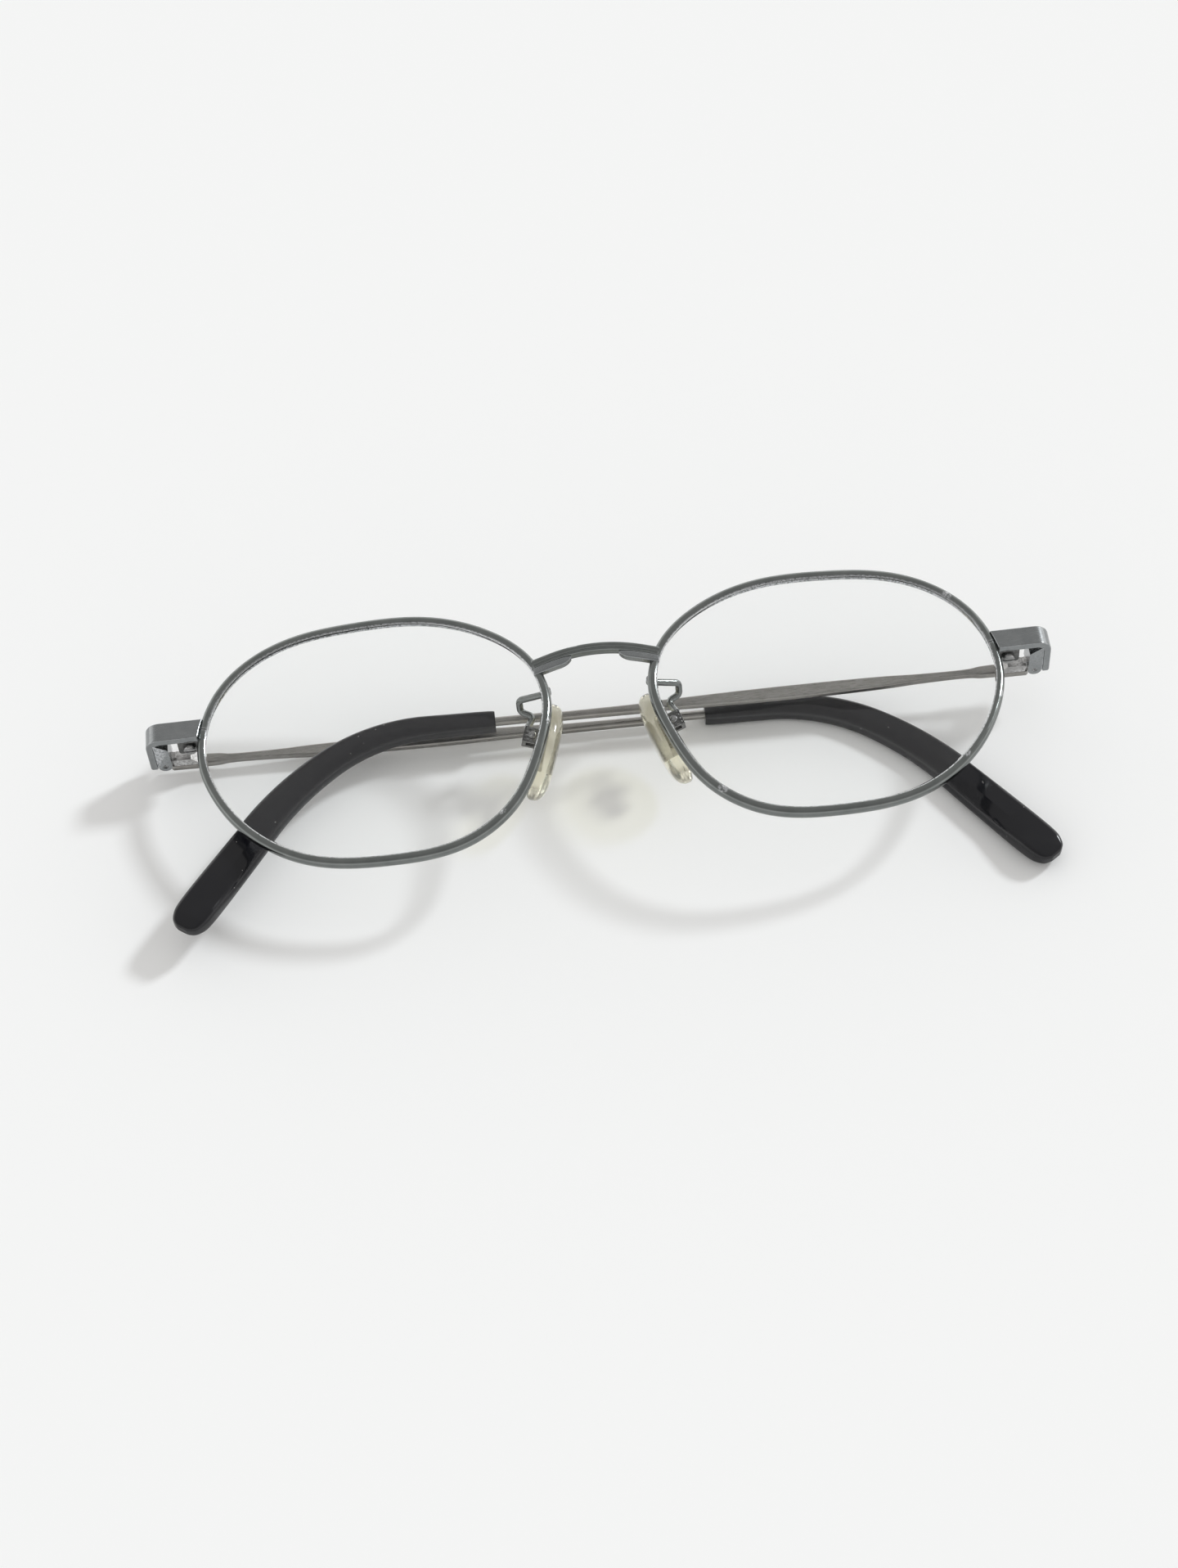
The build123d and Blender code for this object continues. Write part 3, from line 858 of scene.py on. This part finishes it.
def clear_lens():
    """Clear plastic with faint smears."""
    material, wires, shader = new_material("clear_lens")
    smears = wires.use_group(dust_and_smears, place_vector(wires))["Smears"]
    rough = wires.spread(smears, 0.0, 1.0, 0.0, lens_smear_roughness)
    wires.fill(shader, Base_Color=lens_tint, IOR=lens_refraction, Roughness=rough)
    wires.fill(shader, Transmission_Weight=1.0)
    let_light_through(material, wires, shader, lens_shadow_tint)
    return material


def clear_pad():
    """Soft clear plastic, a little yellowed, with a satin skin."""
    material, wires, shader = new_material("clear_pad")
    vector = place_vector(wires)
    patches = wires.noise(vector, scale=0.5, detail=3.0)
    tint = wires.mix(patches, pad_clear_tint, pad_yellow_tint)
    handled = wires.noise(vector, scale=2.5, detail=4.0)
    rough = wires.spread(handled, *usual_noise, pad_smooth, pad_satin)
    wires.fill(shader, Base_Color=tint, IOR=pad_refraction, Roughness=rough)
    wires.fill(shader, Transmission_Weight=1.0)
    grain = wires.noise(vector, scale=6.0, detail=3.0)
    wires.bump(shader, grain, pad_grain_strength, pad_grain_depth)
    let_light_through(material, wires, shader, pad_shadow_tint)
    return material


def dark_plastic():
    """Polished near-black plastic with hairline scratches, specks and smears."""
    material, wires, shader = new_material("dark_tip_plastic")
    vector = place_vector(wires)
    dust = wires.use_group(dust_and_smears, vector)
    scratches = wires.use_group(hairline_scratches, vector)["Height"]
    tint = wires.mix(wires.noise(vector, scale=0.15), tip_black, tip_charcoal)
    tint = wires.mix(wires.math("MULTIPLY", dust["Specks"], dust_cover), tint, dust_colour)
    rough = wires.spread(dust["Smears"], 0.0, 1.0, tip_polish, tip_smear_roughness)
    dusty = wires.math("MULTIPLY", dust["Specks"], dust_roughness)
    rough = wires.math("ADD", rough, dusty, clamp=True)
    wires.fill(shader, Base_Color=tint, IOR=tip_refraction, Roughness=rough)
    wires.bump(shader, scratches, scratch_strength, scratch_depth, invert=True)
    return material


metals = {name: plated_metal(name, *look) for name, look in metal_looks.items()}
lens_material = clear_lens()
pad_material = clear_pad()
tip_material = dark_plastic()


# Rims and lenses
def sphere_height(u, v):
    """How far the lens's middle surface lies in front at a place of the lens."""
    return np.sqrt(base_curve_radius**2 - u**2 - v**2) - base_curve_radius


def rim_line():
    shares = np.array(rim_outline_shares)
    u = shares[:, 0] * rim_half_width
    v = shares[:, 1] * rim_half_height
    return spline_through(np.stack([u, v, sphere_height(u, v)], axis=1), True)


def rim_points(count):
    """Even points of the rim's line, and the directions that point out of the rim."""
    line = even_places(rim_line(), count + 1)[:-1]
    along = unit(np.roll(line, -1, axis=0) - np.roll(line, 1, axis=0))
    return line, unit(np.cross(along, front_way))


def rim_section():
    """Flat inner lips, crowned front, back and outer faces, and a groove for the lens."""
    inner = -rim_thickness / 2
    outer = rim_thickness / 2
    half = rim_depth / 2
    edge = half - rim_crown
    corner = rim_corner
    mouth = lens_thickness / 2 + lens_clearance
    floor = rim_groove_floor / 2
    points = arc_points((inner + corner / 2, -edge), (0, -half), (outer - corner, -edge))
    points += arc_points((outer, corner - edge), (outer + rim_crown, 0), (outer, edge - corner))
    points += arc_points((outer - corner, edge), (0, half), (inner + corner / 2, edge))
    points += [(inner, edge - corner / 2), (inner, mouth), (inner + rim_groove_depth, floor)]
    points += [(inner + rim_groove_depth, -floor), (inner, -mouth), (inner, corner / 2 - edge)]
    return np.array(points)


def rim_shape(steps=420):
    """The eyewire, split at its outer side."""
    length = 2 * pi * sqrt(rim_half_width * rim_half_height)
    gap_share = rim_split / length / 2
    line = even_places(rim_line(), steps, gap_share, 1 - gap_share)
    return moved(sweep(line, rim_section()), lens_place)


def lens_face(shoulder, radius, across, middle_share=0.02):
    """Rings of one face, from its middle out to the bevel's shoulder."""
    rings = []
    for share in np.sin(np.linspace(middle_share, 1, across) * pi / 2):
        flat = shoulder * share
        deep = np.sqrt(radius**2 - (flat**2).sum(axis=1)) - base_curve_radius
        rings.append(np.column_stack([flat, deep]))
    return rings


def lens_shape(around=240, across=30):
    """A meniscus whose rounded bevel sits in the rim's groove."""
    inset = rim_thickness / 2 - rim_groove_depth + lens_clearance
    line, outward = rim_points(around)
    edge = line[:, :2] - outward[:, :2] * inset
    shoulder = edge - outward[:, :2] * lens_bevel
    half = lens_thickness / 2
    front = lens_face(shoulder, base_curve_radius + half, across)
    back = lens_face(shoulder, base_curve_radius - half, across)
    waist = half - lens_bevel
    middle = sphere_height(edge[:, 0], edge[:, 1])
    lip = [np.column_stack([edge, middle + lift]) for lift in (waist, 0, -waist)]
    return moved(skin(front + lip + back[::-1]), lens_place)


def inside_of_rim(name, mirror, around=160):
    """A tall block over the rim's outline, to cut what is soldered to its outer side."""
    line, outward = rim_points(around)
    line = line + outward * (rim_thickness / 2 - solder_overlap)
    plan = [(x, y) for x, y, _ in line]
    shape = laid_flat(block(plan, -rim_cutter_reach, rim_cutter_reach))
    return build(name, moved(shape, lens_place), mirror)


# Bridge and lugs
def bridge_line(steps):
    """The middle line of the arched bar."""
    end = bridge_end_out
    shoulder = end * bridge_shoulder_share
    shoulder_height = bridge_end_height + bridge_arch_rise * bridge_shoulder_rise_share
    bulge = bridge_arch_bulge * bridge_shoulder_rise_share
    points = [
        (-end, bridge_end_height, 0),
        (-shoulder, shoulder_height, bulge),
        (0, bridge_end_height + bridge_arch_rise, bridge_arch_bulge),
        (shoulder, shoulder_height, bulge),
        (end, bridge_end_height, 0),
    ]
    return even_places(spline_through(points, False), steps)


def bridge_shape(steps=120):
    """The arched bar, with a groove along its front."""
    section = rounded_rectangle(bridge_bar_height, bridge_bar_depth, bridge_corner)
    top = bridge_bar_depth / 2
    half = bridge_groove_width / 2
    mouth = half * bridge_groove_mouth_share
    side = top - bridge_groove_depth * bridge_groove_side_share
    bottom = top - bridge_groove_depth
    groove = [(mouth, top), (half, side), (0, bottom), (-half, side), (-mouth, top)]
    quarter = len(section) // 4
    section = np.vstack([section[:quarter], groove, section[quarter:]])
    return sweep(bridge_line(steps), section)


def lug_shape(steps=24, fine=600, thinnest=0.02):
    """A short foot under the bridge's end, thinning out where it leaves the bar."""
    line = bridge_line(fine)
    inward = bridge_end_out - rim_thickness - lug_length
    line = line[(line[:, 0] >= inward) & (line[:, 0] <= bridge_end_out)][::-1]
    line = line[np.linspace(0, len(line) - 1, steps).astype(int)]
    rings = []
    for share, (x, y, z) in zip(np.linspace(0, 1, steps), line):
        rest = np.clip((1 - share) / lug_tail_share, thinnest, 1)
        full = np.sqrt(1 - (1 - rest) ** 2)
        height = lug_height * (lug_tail_height_share + (1 - lug_tail_height_share) * full)
        depth = lug_depth * (lug_tail_depth_share + (1 - lug_tail_depth_share) * full)
        section = rounded_rectangle(depth, height, lug_corner)
        middle = y - bridge_bar_height / 2 + lug_overlap - height / 2
        ring = [np.full(len(section), x), section[:, 1] + middle, z + section[:, 0]]
        rings.append(np.column_stack(ring))
    return skin(rings)


# Temples, drawn open in the hinge's frame
def temple_frames(distances):
    """Middles, and outward and downward ways of the temple, at distances from the axis."""
    origins = []
    ways = []
    for distance in distances:
        angle = 0.0
        back = min(distance, temple_straight)
        down = 0.0
        left_over = distance - temple_straight
        for radius, bend in temple_bends:
            turn = max(min(left_over / radius, bend), 0)
            back = back + radius * (sin(angle + turn) - sin(angle))
            down = down + radius * (cos(angle) - cos(angle + turn))
            angle = angle + turn
            left_over = left_over - radius * bend
        if left_over > 0:
            back = back + left_over * cos(angle)
            down = down + left_over * sin(angle)
        share = distance / temple_length
        out = axis_to_outer_face - temple_thickness / 2 + temple_bow * 4 * share * (1 - share)
        slope = temple_bow * 4 * (1 - share * 2) / temple_length
        origins.append((out, -down, -back))
        ways.append((slope, -sin(angle), -cos(angle)))
    along = np.array(ways)
    lean_up = -along[:, 0] * along[:, 1]
    lean_back = -along[:, 0] * along[:, 2]
    across = unit(np.column_stack([np.ones(len(along)), lean_up, lean_back]))
    return np.array(origins), across, np.cross(unit(along), across)


def loft_temple(distances, sections):
    """Carries changing sections along the temple. Their X is outward and their Y down."""
    sections = np.array(sections)
    origins, across, down = temple_frames(distances)
    rings = origins[:, None, :] + across[:, None, :] * sections[:, :, :1]
    return skin(rings + down[:, None, :] * sections[:, :, 1:])


def temple_bar_shape(steps=320):
    """A blade that narrows behind the hinge, swells, and turns into a round rod."""
    places = np.linspace(0, 1, steps)
    distances = bar_start + places * (tip_start + bar_run_into_tip - bar_start)
    shares = (distances - bar_start) / (tip_start - bar_start)
    heights = blade_height * smooth_table(bar_section_shares, shares, 1)
    growth = smooth_table(bar_section_shares, shares, 2)
    thickness = temple_thickness + (rod_thickness - temple_thickness) * np.clip(growth, 0, 1)
    sections = []
    for distance, height, thick in zip(distances, heights, thickness):
        nearness = min((distance - bar_start) / bar_end_radius, 1)
        shrink = bar_end_radius * (1 - sqrt(1 - (1 - nearness) ** 2))
        round_share = min(max((distance - rod_rounding_start) / rod_rounding_length, 0), 1)
        slimmest = min(height, thick)
        corner = blade_corner + (slimmest * rod_corner_share - blade_corner) * round_share
        corner = min(corner, (slimmest - shrink * 2) * rod_corner_share)
        sections.append(rounded_rectangle(thick - shrink * 2, height - shrink * 2, corner))
    return loft_temple(distances, sections)


def tip_section(thickness, width, ridge):
    """A soft oblong with flat broad faces and a bevel along its lower inner edge."""
    corner = min(width, thickness) * tip_corner_share
    points = rounded_rectangle(thickness, width, corner, 7)
    crest = width / 2 - width * tip_bevel_share
    middle = len(points) // 2
    points = np.insert(points, middle, (-thickness / 2, crest), axis=0)
    above = np.clip(points[:, 1] - crest, 0, None) * (points[:, 0] < 0)
    points[:, 0] += above * tip_bevel_slope * ridge
    return points


def temple_tip_shape(steps=260):
    """The sleeve over the bar's end, broadest before its round end."""
    places = 1 - (1 - np.linspace(0, 1, steps)) ** tip_end_crowding
    distances = tip_start + places * (temple_length - tip_start)
    widths = tip_width * smooth_table(tip_section_shares, places, 1)
    thickness = tip_thickness * smooth_table(tip_section_shares, places, 2)
    rising = np.clip(places / tip_bevel_rise, 0, 1)
    falling = np.clip((tip_bevel_end - places) / tip_bevel_fall, 0, 1)
    sections = [tip_section(*sizes) for sizes in zip(thickness, widths, rising * falling)]
    return loft_temple(distances, sections)


# Endpieces, rim locks and hinges, drawn in the hinge's frame
def endpiece_shape():
    """A plate from the rim that bends back to the hinge."""
    outer = axis_to_outer_face
    inner = axis_to_plate
    front = endpiece_reach_forward
    behind = front - endpiece_front_thickness
    inside_radius = endpiece_corner_radius - endpiece_arm_thickness
    outline = rounded_outline(
        [
            (-endpiece_reach_inward, front, 0),
            (outer, front, endpiece_corner_radius),
            (outer, -joint_line_back, endpiece_end_radius),
            (inner, -joint_line_back, 0),
            (inner, behind, inside_radius),
            (-endpiece_reach_inward, behind, 0),
        ]
    )
    return block(outline, -endpiece_height / 2, endpiece_height / 2)


def lock_shape():
    """The closing block's two halves, with the split between them."""
    top = endpiece_reach_forward - endpiece_front_thickness
    end = lock_start + lock_length
    bottom = top - lock_depth
    corners = [(lock_start, top, 0), (end, top, 0), (end, bottom, lock_corner_radius)]
    plan = rounded_outline(corners + [(lock_start, bottom, 0)])
    gap = lock_split / 2
    return join_shapes(block(plan, gap, lock_half_height), block(plan, -lock_half_height, -gap))


def screw_profile(radius, low, seat, head_radius, head_height):
    """A plain shank with a domed head, from its end up."""
    chamfer = radius * shank_chamfer_share
    profile = [(turned_pole_radius, low), (radius - chamfer, low), (radius, low + chamfer)]
    profile.append((radius, seat))
    profile += [(head_radius * out, seat + head_height * up) for out, up in head_profile_shares]
    profile.append((turned_pole_radius, seat + head_height))
    return profile


def slotted_screw(name, place, radius, low, seat, head_radius, head_height):
    """A turned screw with a slot cut across its head."""
    profile = screw_profile(radius, low, seat, head_radius, head_height)
    screw = build(name, turned(profile), place)
    top = seat + head_height
    reach = head_radius * 2
    half = screw_slot_width / 2
    plan = [(-reach, -half), (reach, -half), (reach, half), (-reach, half)]
    slot = block(plan, top - screw_slot_depth, top + reach)
    cut(screw, build(name + "_slot", slot, place))
    soften(screw, screw_edge_radius, 2)
    return screw


def front_leaf_piece(name, place):
    """The hinge block on the endpiece's inner face: slanted in front, two knuckles behind."""
    slant_end = front_leaf_length + front_leaf_slant
    outline = half_round(-knuckle_radius) + [(axis_to_plate, 0), (axis_to_plate, slant_end)]
    outline.append((-front_leaf_reach, front_leaf_length))
    leaf = build(name, block(outline, -stack_half, stack_half), place)
    middle = knuckle_height / 2 + knuckle_gap
    room_radius = knuckle_radius + knuckle_clearance
    radii = (turned_pole_radius, room_radius, room_radius, turned_pole_radius)
    room = turned(list(zip(radii, (-middle, -middle, middle, middle))))
    cut(leaf, build(name + "_room", room, place))
    soften(leaf, leaf_edge_radius)
    return leaf


def temple_leaf_shape():
    """A block on the bar's inner face with the middle knuckle and a slanted end."""
    start = knuckle_radius + knuckle_clearance
    seat = axis_to_plate + temple_leaf_overlap
    plate = [
        (-temple_leaf_reach, -start),
        (seat, -start),
        (seat, -temple_leaf_length),
        (-temple_leaf_reach, temple_leaf_slant - temple_leaf_length),
    ]
    root = -start * knuckle_root_share
    knuckle = half_round(knuckle_radius)
    knuckle += [(-knuckle_radius * knuckle_neck_share, root), (knuckle_radius, root)]
    return join_shapes(
        block(plate, -temple_leaf_half_height, temple_leaf_half_height),
        block(knuckle, -knuckle_height / 2, knuckle_height / 2),
    )


# Nose pads and what holds them, drawn in the pad's frame
def nose_pad_shape(around=112, across=26):
    """An oval pad, narrower at its top and bowed back at its ends, with a soft rim."""
    angles = np.linspace(0, 2 * pi, around, endpoint=False)
    narrow = 1 - pad_narrowing * np.sin(angles)
    half_height = pad_height / 2
    outline = [np.cos(angles) * pad_width / 2 * narrow, np.sin(angles) * half_height]
    outline = np.stack(outline, axis=1)
    rings = []
    for angle in np.linspace(pad_pole_angle, pi - pad_pole_angle, across * 2):
        flat = outline * np.sin(angle) ** pad_rim_fullness
        height = np.cos(angle)
        side = pad_thickness / 2 + (pad_nose_bulge if height > 0 else 0)
        height = np.sign(height) * abs(height) ** pad_face_fullness * side
        bow = pad_bow * (flat[:, 1] / half_height) ** 2
        rings.append(np.column_stack([flat, height - bow + pad_bow / 3]))
    return moved(skin(rings[::-1]), pad_place)


def pad_arm_shape():
    """A wire from behind the rim, looping out and back down to the pad's box."""
    u = -rim_half_width
    v = pad_arm_start_up
    inside_rim = sphere_height(u, v) - rim_depth / 4
    loop_back = -pad_arm_run_back - pad_arm_loop_depth
    box_back = pad_thickness / 2 + box_gap + box_depth - box_wall / 2
    corners = [
        tuple(lens_place @ Vector((u, v, inside_rim))),
        tuple(lens_place @ Vector((u, v, -pad_arm_run_back))),
        (pad_arm_loop_out, pad_arm_loop_up, -pad_arm_run_back),
        (pad_arm_loop_out, pad_arm_loop_up - pad_arm_loop_drop, loop_back),
        (pad_arm_return_out, pad_arm_return_up, loop_back),
        tuple(pad_place @ Vector((0, pad_mount_up + box_height / 2, -box_back))),
    ]
    return tube(rounded_route(corners, pad_arm_bend_radius), pad_arm_radius)


def pad_box_shape():
    """A small ribbed box, open towards the pad, drawn as two cheeks and a back wall."""
    front = -pad_thickness / 2 - box_gap
    back = front - box_depth
    low = pad_mount_up - box_height / 2
    high = pad_mount_up + box_height / 2
    rib_front = front - rib_inset
    rib_back = back + rib_inset
    rib_pitch = box_height / box_ribs
    rib_half = rib_pitch * rib_half_share
    walls = []
    for way in (1, -1):
        inner = way * box_room / 2
        outer = way * box_width / 2
        crest = outer + way * rib_height
        cheek = [(inner, front), (outer, front), (outer, back), (inner, back)]
        walls.append(block(cheek, low, high))
        ridge = [(outer, rib_front), (crest, rib_front - rib_slope)]
        ridge += [(crest, rib_back + rib_slope), (outer, rib_back)]
        for rib in range(box_ribs):
            middle = low + (rib + 0.5) * rib_pitch
            walls.append(block(ridge, middle - rib_half, middle + rib_half))
    reach = box_width / 2
    inside = back + box_wall
    wall = [(-reach, inside), (reach, inside), (reach, back), (-reach, back)]
    walls.append(block(wall, low, high))
    return join_shapes(*walls)


def pad_core_shape():
    """The pad's stamped plate and the lug behind it."""
    back = -pad_thickness / 2
    depth = back + insert_depth
    straight = (insert_height - insert_width) / 2
    radius = insert_width / 2
    outline = half_round(radius, 16, straight) + half_round(-radius, 16, -straight)
    plate = laid_flat(block(outline, depth, depth + insert_thickness))
    end = back - box_gap - box_depth + box_wall + insert_lug_clearance
    half = insert_lug_width / 2
    corners = [(half, end, insert_lug_corner), (half, depth, 0)]
    corners += [(-half, depth, 0), (-half, end, insert_lug_corner)]
    low = pad_mount_up - insert_lug_height / 2
    high = pad_mount_up + insert_lug_height / 2
    return join_shapes(plate, block(rounded_outline(corners), low, high))


# The pieces
def add_front_wires():
    """The rims, lenses, pad arms, bridge and lugs."""
    wire = metals["frame_metal"]
    front_pair("rim", rim_shape(), wire)
    front_pair("lens", lens_shape(), lens_material, lens_sharp_angle)
    front_pair("pad_arm", pad_arm_shape(), wire)
    bar = build("bridge_bar", bridge_shape(), unmoved)
    finish_piece(bar, "front", wire, "bridge")
    feet = join_shapes(lug_shape(), moved(lug_shape(), mirror_across))
    lugs = build("bridge_feet", feet, unmoved)
    finish_piece(lugs, "front", metals["block_metal"], "bridge_lugs")


def add_endpieces(side, mirror):
    """One side's endpiece, and its rim lock with the screw whose head is below."""
    place = mirror @ hinge_place
    plate = build(side + "_end_plate", endpiece_shape(), place)
    cut(plate, inside_of_rim(side + "_plate_end", mirror))
    soften(plate, endpiece_edge_radius, 4)
    finish_piece(plate, "front", metals["block_metal"], side + "_endpiece")
    lock = build(side + "_closing_block", lock_shape(), place)
    cut(lock, inside_of_rim(side + "_lock_end", mirror))
    soften(lock, lock_edge_radius)
    # The rim lock's near-black metal is painted shade, the shade that falls under the endpiece's
    # plate
    finish_piece(lock, "front", metals["dark_metal"], side + "_rim_lock")
    x = lock_start + lock_length - lock_screw_inset
    z = endpiece_reach_forward - endpiece_front_thickness - lock_depth / 2
    head_down = Matrix.Translation((x, 0, z)) @ Matrix.Rotation(pi, 4, "Z")
    screw = slotted_screw(
        side + "_closing_screw",
        place @ head_down,
        lock_screw_radius,
        -lock_half_height * lock_screw_end_share,
        lock_half_height,
        lock_screw_head_radius,
        lock_screw_head_height,
    )
    # The closing screw's darkened metal is partly painted shade, the shade under the endpiece's
    # plate
    finish_piece(screw, "front", metals["screw_metal"], side + "_rim_lock_screw")


def add_hinge(side, mirror, fold_angle):
    """One side's hinge: its block on the front, its screw and its leaf on the temple."""
    place = mirror @ hinge_place
    leaf = front_leaf_piece(side + "_hinge_block", place)
    finish_piece(leaf, "front", metals["block_metal"], side + "_front_leaf")
    screw = slotted_screw(
        side + "_hinge_pin",
        place,
        hinge_pin_radius,
        -stack_half,
        stack_half,
        hinge_screw_head_radius,
        hinge_screw_head_height,
    )
    finish_piece(screw, "front", metals["screw_metal"], side + "_hinge_screw")
    folded = place @ Matrix.Rotation(fold_angle, 4, "Y")
    leaf = build(side + "_temple_hinge_leaf", temple_leaf_shape(), folded)
    soften(leaf, leaf_edge_radius)
    leaf_metal = metals["leaf_metal"]
    finish_piece(leaf, side + "_temple", leaf_metal, side + "_temple_leaf")


def add_pad(side, mirror):
    """One side's nose pad and its metal core, with the box and the screw that hold it."""
    body = side + "_pad"
    pad = build(side + "_pad_moulding", nose_pad_shape(), mirror)
    finish_piece(pad, body, pad_material, side + "_nose_pad")
    place = mirror @ pad_place
    core = build(side + "_pad_core", pad_core_shape(), place)
    soften(core, pad_metal_edge_radius)
    finish_piece(core, body, metals["insert_metal"], side + "_pad_insert")
    box = build(side + "_pad_holder", pad_box_shape(), place)
    soften(box, pad_metal_edge_radius)
    finish_piece(box, "front", metals["dark_metal"], side + "_pad_box")
    depth = pad_thickness / 2 + box_gap + (box_depth - box_wall) / 2
    across = Matrix.Translation((0, pad_mount_up, -depth)) @ Matrix.Rotation(-pi / 2, 4, "Z")
    reach = box_width / 2
    head = (pad_screw_head_radius, pad_screw_head_height)
    pin = turned(screw_profile(pad_screw_radius, -reach, reach, *head), 32)
    screw = build(side + "_pad_pin", pin, place @ across)
    finish_piece(screw, "front", metals["screw_metal"], side + "_pad_screw")


add_front_wires()
temple_pair("temple_bar", temple_bar_shape(), metals["temple_metal"])
temple_pair("temple_tip", temple_tip_shape(), tip_material, tip_sharp_angle)
for side, (mirror, fold_angle) in sides.items():
    add_endpieces(side, mirror)
    add_hinge(side, mirror, fold_angle)
    add_pad(side, mirror)


# Camera, floor and light
camera_place = Vector((-9.134, -221.108, 370.494))  # in the front's frame
camera_turns = {"Z": -5.967, "Y": 2.428, "X": 29.409}
camera_focal_pixels = 3735
image_height_pixels = 1916
sensor_mm = 36
camera_near = 0.01
camera_far = 10

floor_reach = 3.0
floor_colour = (0.955, 0.957, 0.955, 1)
floor_roughness = 0.9

sun_energy = 1.45
sun_colour = (0.94, 0.975, 1.0)
sun_width = radians(9)
sun_from = (1.2, 0.7, 0.95)
sky_colour = (1.0, 0.992, 0.978, 1)

# Two places of the sky, and its strengths there: by height, and from near side to far side
sky_by_height = (0.15, 0.7, 1.5, 0.56)
sky_by_side = (-0.9, 0.5, 0.78, 1.06)


def add_camera():
    data = bpy.data.cameras.new("camera")
    camera = new_object("camera", data)
    turn = front_turn
    for axis, degrees in camera_turns.items():
        turn = turn @ Matrix.Rotation(radians(degrees), 4, axis)
    camera.matrix_world = Matrix.Translation(front_place @ camera_place) @ turn
    data.sensor_fit = "VERTICAL"
    data.sensor_height = sensor_mm
    data.lens = camera_focal_pixels / image_height_pixels * sensor_mm
    data.clip_start = camera_near
    data.clip_end = camera_far
    bpy.context.scene.camera = camera


def add_floor():
    mesh = bpy.data.meshes.new("floor")
    reach = floor_reach
    corners = [(-reach, -reach, 0), (reach, -reach, 0), (reach, reach, 0), (-reach, reach, 0)]
    mesh.from_pydata(corners, [], [(0, 1, 2, 3)])
    floor = new_object("floor", mesh)
    material, wires, shader = new_material("floor")
    wires.fill(shader, Base_Color=floor_colour, Roughness=floor_roughness)
    wires.fill(shader, Specular_IOR_Level=0.0)
    mesh.materials.append(material)


def add_light():
    """A broad soft sun, and a sky that is brighter low down and on the far side."""
    scene = bpy.context.scene
    scene.view_settings.view_transform = "Standard"
    lamp = bpy.data.lights.new("main_light", "SUN")
    lamp.energy = sun_energy
    lamp.color = sun_colour
    lamp.angle = sun_width
    light = new_object("main_light", lamp)
    towards = Vector(sun_from).normalized()
    light.rotation_euler = towards.to_track_quat("Z", "Y").to_euler()
    world = bpy.data.worlds.new("studio")
    world.use_nodes = True
    scene.world = world
    wires = Wires(world.node_tree)
    background = world.node_tree.nodes["Background"]
    way = wires.add("ShaderNodeTexCoord").outputs["Generated"]
    place = wires.add("ShaderNodeSeparateXYZ", None, Vector=way).outputs
    height_strength = wires.spread(place["Z"], *sky_by_height)
    side_strength = wires.spread(place["Y"], *sky_by_side)
    strength = wires.math("MULTIPLY", height_strength, side_strength)
    wires.fill(background, Color=sky_colour, Strength=strength)


add_camera()
add_floor()
add_light()
